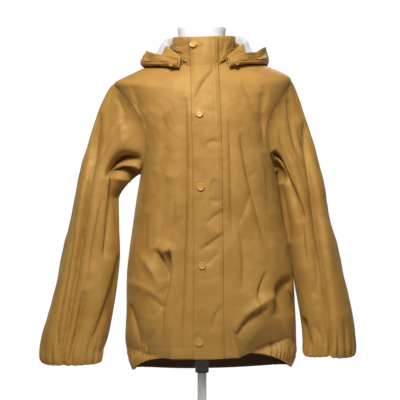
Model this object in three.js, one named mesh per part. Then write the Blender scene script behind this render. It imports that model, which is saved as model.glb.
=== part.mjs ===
// A child's hooded raincoat, closed and filled out on a limbless dress form that stands on a round base.
// Millimetres, +Z up, the coat's front towards -Y. Left and right are those of a picture taken from the front.
import * as THREE from "three";

// Driving sizes
const clothWall = 2;
const layerWall = 1.6;
const seamGap = 0.3;
const underarmHeight = 518;
const shoulderTipHeight = 703;
const neckHeight = 752;
const lean = 0.018; // the coat hangs a little higher on the right for each millimetre across
const centreX = 4; // the coat's middle, beside the form's own axis
const frontArmholeReach = 30; // degrees of turn round the body from the side seam
const backArmholeReach = 26;
const armholeSteps = 10;
const openingTurn = 2.2; // degrees right of the middle where the two fronts meet

const radians = THREE.MathUtils.degToRad;
const vector = (x, y, z) => new THREE.Vector3(x, y, z);
const mix = THREE.MathUtils.lerp;
const clamp01 = (value) => THREE.MathUtils.clamp(value, 0, 1);
const smooth = (value) => {
  const t = clamp01(value);
  return t * t * (3 - 2 * t);
};

// One row for each level of the body, at its height on the side seam. Lifts raise the front and the back.
const bodyLevels = [
  { at: 130, left: 142, right: 174, front: 118, back: 122, frontLift: 30, backLift: -14, square: 2.4 },
  { at: 158, left: 151, right: 183, front: 122, back: 127, frontLift: 26, backLift: -12, square: 2.4 },
  { at: 190, left: 157, right: 184, front: 125, back: 129, frontLift: 20, backLift: -9, square: 2.4 },
  { at: 250, left: 155, right: 182, front: 125, back: 128, frontLift: 11, backLift: -5, square: 2.4 },
  { at: 320, left: 154, right: 177, front: 122, back: 124, frontLift: 4, backLift: 0, square: 2.4 },
  { at: 370, left: 149, right: 168, front: 120, back: 120, frontLift: 0, backLift: 0, square: 2.4 },
  { at: 420, left: 142, right: 157, front: 118, back: 117, frontLift: 0, backLift: 0, square: 2.4 },
  { at: 470, left: 135, right: 150, front: 117, back: 114, frontLift: 0, backLift: 0, square: 2.4 },
  { at: 535, left: 125, right: 141, front: 115, back: 111, frontLift: 0, backLift: 0, square: 2.4 },
  { at: 580, left: 128, right: 138, front: 111, back: 110, frontLift: -1, backLift: 0, square: 2.35 },
  { at: 620, left: 141, right: 145, front: 106, back: 109, frontLift: -3, backLift: 0, square: 2.3 },
  { at: 660, left: 161, right: 162, front: 99, back: 106, frontLift: -8, backLift: 1, square: 2.2 },
  { at: 690, left: 176, right: 173, front: 93, back: 102, frontLift: -14, backLift: 2, square: 2.1 },
  { at: 703, left: 179, right: 174, front: 90, back: 98, frontLift: -18, backLift: 3, square: 2.1 },
  { at: 711, left: 165, right: 168, front: 88, back: 95, frontLift: -20, backLift: 5, square: 2.1 },
  { at: 720, left: 145, right: 151, front: 86, back: 90, frontLift: -22, backLift: 7, square: 2.1 },
  { at: 730, left: 123, right: 127, front: 83, back: 84, frontLift: -25, backLift: 9, square: 2.1 },
  { at: 742, left: 88, right: 90, front: 79, back: 72, frontLift: -28, backLift: 10, square: 2.1 },
  { at: 752, left: 60, right: 59, front: 75, back: 60, frontLift: -30, backLift: 10, square: 2.1 },
];

// The main creases of the fronts, from one end to the other as seen from the front. A crease sinks by its
// depth, and one of negative depth stands up.
const frontCreases = [
  { x0: -34, z0: 650, x1: -44, z1: 300, width: 7, depth: 5 },
  { x0: -84, z0: 625, x1: -92, z1: 535, width: 10, depth: 5 },
  { x0: -84, z0: 470, x1: -92, z1: 385, width: 13, depth: 5 },
  { x0: -90, z0: 362, x1: -74, z1: 300, width: 9, depth: 9 },
  { x0: -104, z0: 300, x1: -78, z1: 270, width: 9, depth: -4 },
  { x0: -138, z0: 255, x1: -122, z1: 215, width: 9, depth: 6 },
  { x0: 76, z0: 600, x1: 126, z1: 380, width: 8, depth: 5 },
  { x0: 98, z0: 480, x1: 66, z1: 410, width: 8, depth: 3 },
  { x0: 58, z0: 625, x1: 58, z1: 390, width: 8, depth: 3 },
  { x0: 146, z0: 310, x1: 124, z1: 200, width: 10, depth: 6 },
  { x0: 116, z0: 258, x1: 70, z1: 212, width: 8, depth: 9 },
  { x0: 126, z0: 330, x1: 108, z1: 276, width: 8, depth: 4 },
  { x0: -140, z0: 690, x1: -128, z1: 640, width: 7, depth: 4 },
  { x0: 128, z0: 694, x1: 130, z1: 655, width: 7, depth: 4 },
];
// The back's own creases: long falls below the hood and pulls at the waist, placed as if seen from the front
const backCreases = [
  { x0: -70, z0: 560, x1: -96, z1: 190, width: 14, depth: 7 },
  { x0: -20, z0: 480, x1: -30, z1: 170, width: 12, depth: 4 },
  { x0: 44, z0: 540, x1: 62, z1: 170, width: 14, depth: 6 },
  { x0: 104, z0: 470, x1: 132, z1: 220, width: 13, depth: 7 },
  { x0: -128, z0: 420, x1: -92, z1: 330, width: 11, depth: 4 },
];

// Elastic gathers along the hem at both sides
const gatherTop = 176;
const gatherDepth = 3.2;
const gatherHalfTurn = 46; // degrees each way from the side seam
const gathersPerSide = 14;
const pointsPerGather = 3;
const gatherFade = { turn: 8, height: 30 }; // over which the gathers die out

const creaseEnds = { start: 0.12, end: 0.88 }; // the parts of a half wave that a crease's two ends fall on
const facingFade = 4; // how fast the front's and the back's creases die out towards the side seams

// A smooth curve through one column of a table whose rows are in order of their at value
function sample(table, column, at) {
  const last = table.length - 1;
  if (at <= table[0].at) return table[0][column];
  if (at >= table[last].at) return table[last][column];
  let low = 0;
  while (table[low + 1].at < at) low += 1;
  const slope = (row) => {
    const before = table[Math.max(row - 1, 0)];
    const after = table[Math.min(row + 1, last)];
    return (after[column] - before[column]) / (after.at - before.at);
  };
  const span = table[low + 1].at - table[low].at;
  const t = (at - table[low].at) / span;
  const start = table[low][column];
  const end = table[low + 1][column];
  const fromStart = (1 + 2 * t) * (1 - t) * (1 - t) * start + t * (1 - t) * (1 - t) * span * slope(low);
  const fromEnd = t * t * (3 - 2 * t) * end + t * t * (t - 1) * span * slope(low + 1);
  return fromStart + fromEnd;
}

// How far a set of creases sinks a point at x, z. Each fades out towards its ends.
function creaseDepth(creases, x, z) {
  let sum = 0;
  for (const crease of creases) {
    const dx = crease.x1 - crease.x0;
    const dz = crease.z1 - crease.z0;
    const along = ((x - crease.x0) * dx + (z - crease.z0) * dz) / (dx * dx + dz * dz);
    const nearest = clamp01(along);
    const away = Math.hypot(x - crease.x0 - nearest * dx, z - crease.z0 - nearest * dz);
    const fade = Math.sin(Math.PI * mix(creaseEnds.start, creaseEnds.end, nearest));
    sum += crease.depth * fade * Math.exp(-((away / crease.width) ** 2));
  }
  return sum;
}

const signedPower = (value, power) => Math.sign(value) * Math.abs(value) ** power;

// The body's plain surface: turn in degrees from the front's middle, positive to the right, and a level
function plainBodyPoint(turn, at) {
  const s = Math.sin(radians(turn));
  const c = Math.cos(radians(turn));
  const power = 2 / sample(bodyLevels, "square", at);
  const half = sample(bodyLevels, s < 0 ? "left" : "right", at);
  const deep = sample(bodyLevels, c > 0 ? "front" : "back", at);
  const lift = c * c * sample(bodyLevels, c > 0 ? "frontLift" : "backLift", at);
  const x = centreX + half * signedPower(s, power);
  const y = -deep * signedPower(c, power);
  return vector(x, y, at + lift + lean * x);
}

function outwardFrom(surface, turn, at) {
  const turnStep = 0.4;
  const levelStep = at > neckHeight - 1 ? -1 : 1;
  const here = surface(turn, at);
  const across = surface(turn + turnStep, at).sub(here);
  const up = surface(turn, at + levelStep).sub(here).multiplyScalar(levelStep);
  return across.cross(up).normalize();
}

// The same turn between -180 and 180 degrees
const foldedTurn = (turn) => (turn > 180 ? turn - 360 : turn);

// How much of the hem's gathering reaches a point, and the wave it draws there
function gatherWave(turn, at) {
  const pastSide = Math.abs(foldedTurn(turn)) - 90;
  const across = smooth((gatherHalfTurn - Math.abs(pastSide)) / gatherFade.turn);
  const reach = across * smooth((gatherTop - at) / gatherFade.height);
  const waves = (gathersPerSide * (pastSide + gatherHalfTurn)) / (2 * gatherHalfTurn);
  return reach * gatherDepth * Math.sin(2 * Math.PI * waves);
}

// The body's true surface, with its creases and gathers
function bodyPoint(turn, at) {
  const point = plainBodyPoint(turn, at);
  const outward = outwardFrom(plainBodyPoint, turn, at);
  const facing = Math.cos(radians(turn));
  const creases = facing > 0 ? frontCreases : backCreases;
  const shown = smooth(Math.abs(facing) * facingFade);
  const move = gatherWave(turn, at) - shown * creaseDepth(creases, point.x, point.z);
  return point.addScaledVector(outward, move);
}

const bodyNormal = (turn, at) => outwardFrom(plainBodyPoint, turn, at);

// A wall's point pair: on its outer face, and the wall's depth further in
const pairAt = (outer, outward, at, depth) => ({
  at,
  outer,
  inner: outer.clone().addScaledVector(outward, -depth),
});

// A closed solid from rows of point pairs. Rows may differ in how many points they hold:
// each strip between two rows is joined by the points' places along the row.
function wallGeometry(rows, { round = false, flip = false } = {}) {
  const positions = [];
  const addTriangle = (a, b, c) => {
    const order = flip ? [a, c, b] : [a, b, c];
    for (const point of order) positions.push(point.x, point.y, point.z);
  };
  const strip = (low, high, face, reverse) => {
    let i = 0;
    let j = 0;
    const lowRow = round ? [...low, { ...low[0], at: 1 }] : low;
    const highRow = round ? [...high, { ...high[0], at: 1 }] : high;
    while (i < lowRow.length - 1 || j < highRow.length - 1) {
      const nextLow = i < lowRow.length - 1 ? lowRow[i + 1].at : Infinity;
      const nextHigh = j < highRow.length - 1 ? highRow[j + 1].at : Infinity;
      const a = lowRow[i][face];
      const b = highRow[j][face];
      if (nextLow <= nextHigh) {
        const c = lowRow[i + 1][face];
        if (reverse) addTriangle(a, b, c);
        else addTriangle(a, c, b);
        i += 1;
      } else {
        const c = highRow[j + 1][face];
        if (reverse) addTriangle(a, b, c);
        else addTriangle(a, c, b);
        j += 1;
      }
    }
  };
  const rim = (row, reverse) => {
    const count = round ? row.length : row.length - 1;
    for (let i = 0; i < count; i += 1) {
      const here = row[i];
      const next = row[(i + 1) % row.length];
      if (reverse) {
        addTriangle(here.outer, here.inner, next.outer);
        addTriangle(next.outer, here.inner, next.inner);
      } else {
        addTriangle(here.outer, next.outer, here.inner);
        addTriangle(next.outer, next.inner, here.inner);
      }
    }
  };
  for (let row = 0; row < rows.length - 1; row += 1) {
    strip(rows[row], rows[row + 1], "outer", false);
    strip(rows[row], rows[row + 1], "inner", true);
  }
  rim(rows[0], true);
  rim(rows[rows.length - 1], false);
  if (!round) {
    const starts = rows.map((row) => row[0]);
    const ends = rows.map((row) => row[row.length - 1]);
    for (const [edge, reverse] of [[starts, false], [ends, true]]) {
      for (let i = 0; i < edge.length - 1; i += 1) {
        const here = edge[i];
        const next = edge[i + 1];
        if (reverse) {
          addTriangle(here.outer, here.inner, next.outer);
          addTriangle(next.outer, here.inner, next.inner);
        } else {
          addTriangle(here.outer, next.outer, here.inner);
          addTriangle(next.outer, next.inner, here.inner);
        }
      }
    }
  }
  const geometry = new THREE.BufferGeometry();
  geometry.setAttribute("position", new THREE.Float32BufferAttribute(positions, 3));
  geometry.computeVertexNormals();
  return geometry;
}

const group = new THREE.Group();
function addPiece(name, geometry, material) {
  const mesh = new THREE.Mesh(geometry, material);
  mesh.name = name;
  group.add(mesh);
}

const materials = {
  cloth: new THREE.MeshStandardMaterial({ color: 0xa67c43, roughness: 0.55, metalness: 0 }),
  snap: new THREE.MeshStandardMaterial({ color: 0xb08a52, roughness: 0.4, metalness: 0 }),
  form: new THREE.MeshStandardMaterial({ color: 0xf2f2f0, roughness: 0.6, metalness: 0 }),
  darkMetal: new THREE.MeshStandardMaterial({ color: 0x3a3733, roughness: 0.4, metalness: 0.8 }),
  paleMetal: new THREE.MeshStandardMaterial({ color: 0xe6e6e4, roughness: 0.45, metalness: 0.2 }),
};

// Levels of the body's rows: close at the gathered hem and round the armhole, wide between them
const hemLevels = [130, 142, 156, 168];
const midLevels = [184, 212, 240, 270, 300, 335, 375, 420, 470];
const shoulderLevels = [713, 726, 740, 752];
const armholeMiddle = (shoulderTipHeight + underarmHeight) / 2;
const armholeHalf = (shoulderTipHeight - underarmHeight) / 2;
const armholeLevel = (angle) => armholeMiddle + armholeHalf * Math.cos(radians(angle));

// The turn that moves a point on the body's side by half a seam's gap
const meanRadius = 130;
const halfGapTurn = THREE.MathUtils.radToDeg(seamGap / 2 / meanRadius);

// Rows of one panel between its two upright edges, cut back at the side seams and round the armholes
function panelRows({ isFront, startTurn, endTurn, columns }) {
  const rows = [];
  const reach = isFront ? frontArmholeReach : backArmholeReach;
  const cutBack = (turn, angle) => {
    const side = foldedTurn(turn);
    if (Math.abs(Math.abs(side) - 90) > 0.01) return turn;
    const inset = halfGapTurn + (angle === null ? 0 : reach * Math.sin(radians(angle)));
    const away = (isFront ? -1 : 1) * Math.sign(side);
    return turn + away * inset;
  };
  const addRow = (at, count, angle = null) => {
    const from = cutBack(startTurn, angle);
    const to = cutBack(endTurn, angle);
    const row = [];
    for (let i = 0; i <= count; i += 1) {
      const along = i / count;
      const turn = mix(from, to, along);
      row.push(pairAt(bodyPoint(turn, at), bodyNormal(turn, at), along, clothWall));
    }
    rows.push(row);
  };
  const span = Math.abs(endTurn - startTurn);
  const fineColumns = Math.round((span * gathersPerSide * pointsPerGather) / (2 * gatherHalfTurn));
  for (const at of hemLevels) addRow(at, fineColumns);
  for (const at of midLevels) addRow(at, columns);
  for (let step = 0; step <= armholeSteps; step += 1) {
    const angle = 180 - (180 * step) / armholeSteps;
    addRow(armholeLevel(angle), columns, angle);
  }
  for (const at of shoulderLevels) addRow(at, columns);
  return rows;
}

const openingGap = THREE.MathUtils.radToDeg(seamGap / 2 / 118);
const frontColumns = 13;
const backColumns = 18;
const panels = {
  front_left: { isFront: true, startTurn: -90, endTurn: openingTurn - openingGap, columns: frontColumns },
  front_right: { isFront: true, startTurn: openingTurn + openingGap, endTurn: 90, columns: frontColumns },
  back: { isFront: false, startTurn: 90, endTurn: 270, columns: backColumns },
};
for (const [name, panel] of Object.entries(panels)) {
  addPiece(name, wallGeometry(panelRows(panel)), materials.cloth);
}

// Sleeves. Each row is a ring, at its place down the sleeve, with its centre, its height below the first ring,
// its half width and half depth, and how much of the wrist's gathering it has. The last rows turn in.
const sleeveStartHeight = 470;
const wristGathers = 20;
const wristGatherDepth = 2.2;
const leftSleeveLevels = [
  { at: 0, x: -210, y: -4, drop: 0, half: 44, deep: 52, gather: 0 },
  { at: 50, x: -214, y: -7, drop: 50, half: 49, deep: 54, gather: 0 },
  { at: 108, x: -220, y: -10, drop: 108, half: 57, deep: 56, gather: 0 },
  { at: 164, x: -228, y: -13, drop: 164, half: 60, deep: 57, gather: 0 },
  { at: 216, x: -238, y: -16, drop: 216, half: 62, deep: 58, gather: 0 },
  { at: 256, x: -247, y: -18, drop: 256, half: 63, deep: 58, gather: 0.05 },
  { at: 290, x: -254, y: -20, drop: 289, half: 61, deep: 56, gather: 0.6 },
  { at: 312, x: -257, y: -20, drop: 310, half: 55, deep: 51, gather: 1 },
  { at: 326, x: -258, y: -20, drop: 318, half: 45, deep: 43, gather: 1 },
  { at: 338, x: -258, y: -20, drop: 314, half: 36, deep: 35, gather: 0.8 },
];
const rightSleeveLevels = [
  { at: 0, x: 202, y: -4, drop: 0, half: 43, deep: 52, gather: 0 },
  { at: 42, x: 209, y: -6, drop: 42, half: 45, deep: 53, gather: 0 },
  { at: 96, x: 222, y: -10, drop: 96, half: 47, deep: 55, gather: 0 },
  { at: 154, x: 233, y: -13, drop: 154, half: 48, deep: 56, gather: 0 },
  { at: 206, x: 242, y: -16, drop: 206, half: 51, deep: 56, gather: 0 },
  { at: 252, x: 250, y: -18, drop: 252, half: 52, deep: 56, gather: 0.05 },
  { at: 282, x: 251, y: -20, drop: 281, half: 52, deep: 54, gather: 0.6 },
  { at: 302, x: 251, y: -20, drop: 300, half: 48, deep: 50, gather: 1 },
  { at: 316, x: 251, y: -20, drop: 307, half: 41, deep: 42, gather: 1 },
  { at: 328, x: 251, y: -20, drop: 303, half: 34, deep: 35, gather: 0.8 },
];
const leftSleeveCreases = [
  { x0: -210, z0: 650, x1: -274, z1: 165, width: 8, depth: 6 },
  { x0: -178, z0: 650, x1: -178, z1: 500, width: 8, depth: 4 },
  { x0: -186, z0: 470, x1: -184, z1: 336, width: 7, depth: 5 },
  { x0: -184, z0: 345, x1: -220, z1: 190, width: 8, depth: 6 },
  { x0: -244, z0: 222, x1: -256, z1: 172, width: 7, depth: 5 },
  { x0: -176, z0: 548, x1: -134, z1: 534, width: 9, depth: 6 },
];
const rightSleeveCreases = [
  { x0: 150, z0: 592, x1: 198, z1: 440, width: 8, depth: 6 },
  { x0: 196, z0: 470, x1: 199, z1: 390, width: 7, depth: 4 },
  { x0: 216, z0: 575, x1: 252, z1: 176, width: 8, depth: 5 },
  { x0: 200, z0: 236, x1: 214, z1: 176, width: 8, depth: 5 },
];
const sleeves = {
  left: { side: -1, levels: leftSleeveLevels, creases: leftSleeveCreases },
  right: { side: 1, levels: rightSleeveLevels, creases: rightSleeveCreases },
};

// A point of a hanging ring. The angle runs from the outside (0) by the front (90) to the inside (180).
// The axis is taken where the sleeve hangs free, away from the armhole and the rows that turn in.
const axisInset = 12;
const axisReach = 8;
const rowsPastHanging = 4;
function sleeveRingPoint({ side, levels }, angle, at) {
  const place = (where) => vector(
    sample(levels, "x", where),
    sample(levels, "y", where),
    sleeveStartHeight - sample(levels, "drop", where),
  );
  const first = levels[0].at;
  const lastHanging = levels[levels.length - rowsPastHanging].at;
  const near = THREE.MathUtils.clamp(at, first + axisInset, lastHanging);
  const axis = place(near + axisReach).sub(place(near - axisReach)).normalize();
  const outward = vector(-axis.z * side, 0, axis.x * side).normalize();
  const forward = vector(0, -1, 0);
  return place(at)
    .addScaledVector(outward, sample(levels, "half", at) * Math.cos(radians(angle)))
    .addScaledVector(forward, sample(levels, "deep", at) * Math.sin(radians(angle)));
}

// The armhole's edge, at the same angles. outside is how far past the seam, towards the panels, it is taken.
function armholePoint(side, angle, outside) {
  const reach = Math.sin(radians(angle)) > 0 ? frontArmholeReach : backArmholeReach;
  const grow = 1 + outside;
  const turn = side * (90 - (grow * reach - 2 * halfGapTurn) * Math.sin(radians(angle)));
  const level = armholeMiddle + (grow * armholeHalf - seamGap) * Math.cos(radians(angle));
  return plainBodyPoint(turn, level);
}

// How strongly the sleeve leaves the armhole, and how strongly it turns down, at its outside and its inside
const sleevePull = { leavingOutside: 95, leavingInside: 26, arrivingOutside: 210, arrivingInside: 60 };
const directionStep = { outside: 0.06, down: 20 };

// The sleeve's plain surface: at is negative between the armhole (-1) and the first hanging ring (0)
function plainSleevePoint(sleeve, angle, at) {
  if (at >= 0) return sleeveRingPoint(sleeve, angle, at);
  const t = at + 1;
  const start = armholePoint(sleeve.side, angle, 0);
  const leaving = start.clone().sub(armholePoint(sleeve.side, angle, directionStep.outside)).normalize();
  const end = sleeveRingPoint(sleeve, angle, 0);
  const arriving = sleeveRingPoint(sleeve, angle, directionStep.down).sub(end).normalize();
  const inside = (1 - Math.cos(radians(angle))) / 2;
  const leavingPull = mix(sleevePull.leavingOutside, sleevePull.leavingInside, inside ** 2);
  const arrivingPull = mix(sleevePull.arrivingOutside, sleevePull.arrivingInside, inside);
  const a = (1 + 2 * t) * (1 - t) ** 2;
  const b = t * (1 - t) ** 2;
  const c = t * t * (3 - 2 * t);
  const d = t * t * (t - 1);
  return start.multiplyScalar(a)
    .addScaledVector(leaving, b * leavingPull)
    .addScaledVector(end, c)
    .addScaledVector(arriving, d * arrivingPull);
}

function sleeveNormal(sleeve, angle, at) {
  const turnStep = 1;
  const downStep = at < 0 ? 0.01 : 1;
  const last = sleeve.levels[sleeve.levels.length - 1].at;
  const back = at + downStep > last ? 1 : 0;
  const here = plainSleevePoint(sleeve, angle, at - back * downStep);
  const across = plainSleevePoint(sleeve, angle + turnStep, at - back * downStep).sub(here);
  const down = plainSleevePoint(sleeve, angle, at + (1 - back) * downStep).sub(here);
  return across.cross(down).multiplyScalar(sleeve.side).normalize();
}

const armholeFlat = 0.2; // the part of the join, from the armhole on, over which creases grow
function sleeveRows(sleeve) {
  const joinRows = [-1, -0.9, -0.78, -0.64, -0.48, -0.32, -0.16];
  const last = sleeve.levels.length - 1;
  const rows = [];
  const addRow = (at, count) => {
    const row = [];
    for (let i = 0; i < count; i += 1) {
      const angle = (360 * i) / count;
      const point = plainSleevePoint(sleeve, angle, at);
      const outward = sleeveNormal(sleeve, angle, at);
      const gather = at > 0 ? sample(sleeve.levels, "gather", at) : 0;
      const wave = gather * wristGatherDepth * Math.sin(radians(angle * wristGathers));
      const shown = smooth(Math.sin(radians(angle)) * facingFade) * smooth((at + 1) / armholeFlat);
      const move = wave - shown * creaseDepth(sleeve.creases, point.x, point.z);
      point.addScaledVector(outward, move);
      row.push(pairAt(point, outward, i / count, clothWall));
    }
    rows.push(row);
  };
  for (const at of joinRows) addRow(at, 2 * armholeSteps);
  const firstGathered = last - rowsPastHanging + 1;
  for (let i = 0; i < firstGathered; i += 1) {
    addRow(sleeve.levels[i].at, 2 * armholeSteps);
    addRow((sleeve.levels[i].at + sleeve.levels[i + 1].at) / 2, 2 * armholeSteps);
  }
  for (let i = firstGathered; i <= last; i += 1) addRow(sleeve.levels[i].at, wristGathers * pointsPerGather);
  return rows;
}

for (const [name, sleeve] of Object.entries(sleeves)) {
  const flip = sleeve.side < 0;
  addPiece("sleeve_" + name, wallGeometry(sleeveRows(sleeve), { round: true, flip }), materials.cloth);
}

// Collar. It stands inside the neckline, leans back at the front and flares a little to its top.
const collarTop = { half: 63, front: 60, back: 64, frontHeight: 787, sideHeight: 791, backHeight: 799 };
const collarSink = 1; // how far its foot reaches below the neckline's edge
const collarBulge = 2;
const collarTopRise = 0.98; // where the collar's direction at its top is taken

function plainCollarPoint(turn, rise) {
  const neck = plainBodyPoint(turn, neckHeight);
  const outward = bodyNormal(turn, neckHeight);
  const s = Math.sin(radians(turn));
  const c = Math.cos(radians(turn));
  const radial = vector(s, -c, 0);
  const foot = neck.clone().addScaledVector(radial, -(clothWall * Math.max(outward.dot(radial), 0) + seamGap));
  foot.z -= collarSink;
  const deep = c > 0 ? collarTop.front : collarTop.back;
  const height = c > 0 ? collarTop.frontHeight : collarTop.backHeight;
  const x = centreX + collarTop.half * s;
  const top = vector(x, -deep * c, mix(collarTop.sideHeight, height, c * c) + lean * x);
  return foot.lerp(top, rise).addScaledVector(radial, collarBulge * Math.sin(Math.PI * rise));
}

function collarNormal(turn, rise) {
  const low = Math.min(rise, collarTopRise);
  const here = plainCollarPoint(turn, low);
  const across = plainCollarPoint(turn + 0.5, low).sub(here);
  const up = plainCollarPoint(turn, low + 1 - collarTopRise).sub(here);
  return across.cross(up).normalize();
}

// Rows of a strip of the collar, or of what lies on it. lift is how far its inner face is from the collar's
// outer one, and 0 for the collar itself.
function collarRows({ fromTurn, toTurn, rises, columns, lift, depth }) {
  return rises.map((rise) => {
    const row = [];
    for (let i = 0; i <= columns; i += 1) {
      const turn = mix(fromTurn, toTurn, i / columns);
      const outward = collarNormal(turn, rise);
      const outer = plainCollarPoint(turn, rise).addScaledVector(outward, lift + (lift > 0 ? depth : 0));
      row.push(pairAt(outer, outward, i / columns, depth));
    }
    return row;
  });
}
const collarGap = THREE.MathUtils.radToDeg(seamGap / 2 / collarTop.front);
addPiece(
  "collar",
  wallGeometry(collarRows({
    fromTurn: openingTurn + collarGap,
    toTurn: openingTurn - collarGap + 360,
    rises: [0, 0.25, 0.5, 0.75, 1],
    columns: 26,
    lift: 0,
    depth: clothWall,
  })),
  materials.cloth,
);

// Storm flap. Its edges are at these places across, at these heights on the middle of the front.
const flapEdges = [
  { at: 150, left: -17, right: 43 },
  { at: 460, left: -18, right: 40 },
  { at: 633, left: -21, right: 37 },
  { at: 715, left: -23, right: 33 },
  { at: 750, left: -25, right: 32 },
  { at: 790, left: -27, right: 31 },
];
const flapTopRise = 0.95;
const flapColumns = 5;
const flapLift = 0.9; // its own stiffness holds it off the faceted fronts
const neckHalf = 60; // half the neckline's width

function turnAtPlace(x, half, power) {
  return THREE.MathUtils.radToDeg(Math.asin(signedPower((x - centreX) / half, 1 / power)));
}

// Where the flap lies: on the fronts, and past the neckline on the collar, at a rise of level - neckHeight
function flapPlace(x, level) {
  if (level <= neckHeight) {
    const half = sample(bodyLevels, x < centreX ? "left" : "right", level);
    const turn = turnAtPlace(x, half, 2 / sample(bodyLevels, "square", level));
    return { point: bodyPoint(turn, level), outward: bodyNormal(turn, level) };
  }
  const turn = turnAtPlace(x, (neckHalf + collarTop.half) / 2, 1);
  const rise = level - neckHeight;
  return { point: plainCollarPoint(turn, rise), outward: collarNormal(turn, rise) };
}

// The flap's rows: plain at the hem, close on the chest, and four on the collar
const flapLevels = [
  ...[130, 156],
  ...midLevels,
  ...[535, 565, 595, 625, 655, 680, 700],
  ...shoulderLevels,
  ...[0.14, 0.4, 0.68, flapTopRise].map((rise) => neckHeight + rise),
];
const flapMiddle = 8;

function flapRows() {
  return flapLevels.map((level) => {
    const middle = flapPlace(flapMiddle, level).point.z;
    const left = sample(flapEdges, "left", middle);
    const right = sample(flapEdges, "right", middle);
    const row = [];
    for (let i = 0; i <= flapColumns; i += 1) {
      const { point, outward } = flapPlace(mix(left, right, i / flapColumns), level);
      point.addScaledVector(outward, flapLift + layerWall);
      row.push(pairAt(point, outward, i / flapColumns, layerWall));
    }
    return row;
  });
}
addPiece("storm_flap", wallGeometry(flapRows()), materials.cloth);

// Band round the collar's foot, from one edge of the flap to the other
const bandEnds = { left: 327, right: 31 };
const bandLift = 0.7;
addPiece(
  "neck_band",
  wallGeometry(collarRows({
    fromTurn: bandEnds.right,
    toTurn: bandEnds.left,
    rises: [0.1, 0.27, 0.44],
    columns: 24,
    lift: bandLift,
    depth: layerWall,
  })),
  materials.cloth,
);

// Snaps: a cap with a raised rim, its axis along the cloth's own direction
function snapGeometry(radius, height) {
  const profile = [
    [0, 0],
    [radius * 0.96, 0],
    [radius, height * 0.5],
    [radius * 0.8, height],
    [0, height * 0.8],
  ].map(([across, up]) => new THREE.Vector2(across, up));
  return new THREE.LatheGeometry(profile, 14);
}
function addSnap(name, point, outward, radius, height) {
  const geometry = snapGeometry(radius, height);
  const turnTo = new THREE.Quaternion().setFromUnitVectors(vector(0, 1, 0), outward);
  geometry.applyQuaternion(turnTo);
  geometry.translate(point.x, point.y, point.z);
  addPiece(name, geometry, materials.snap);
}
const snapRadius = 7.5;
const snapHeight = 2.4;
const snapGap = 0.6; // between a cap and the cloth that it sits on
const snapPlaces = [
  { x: -15.5, level: neckHeight + 0.74 },
  { x: -5, level: 637 },
  { x: -3, level: 491 },
  { x: 0, level: 338 },
  { x: -5, level: 170 },
];
snapPlaces.forEach(({ x, level }, index) => {
  const { point, outward } = flapPlace(x, level);
  point.addScaledVector(outward, flapLift + layerWall + snapGap);
  addSnap("snap_" + (index + 1), point, outward, snapRadius, snapHeight);
});

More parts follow.
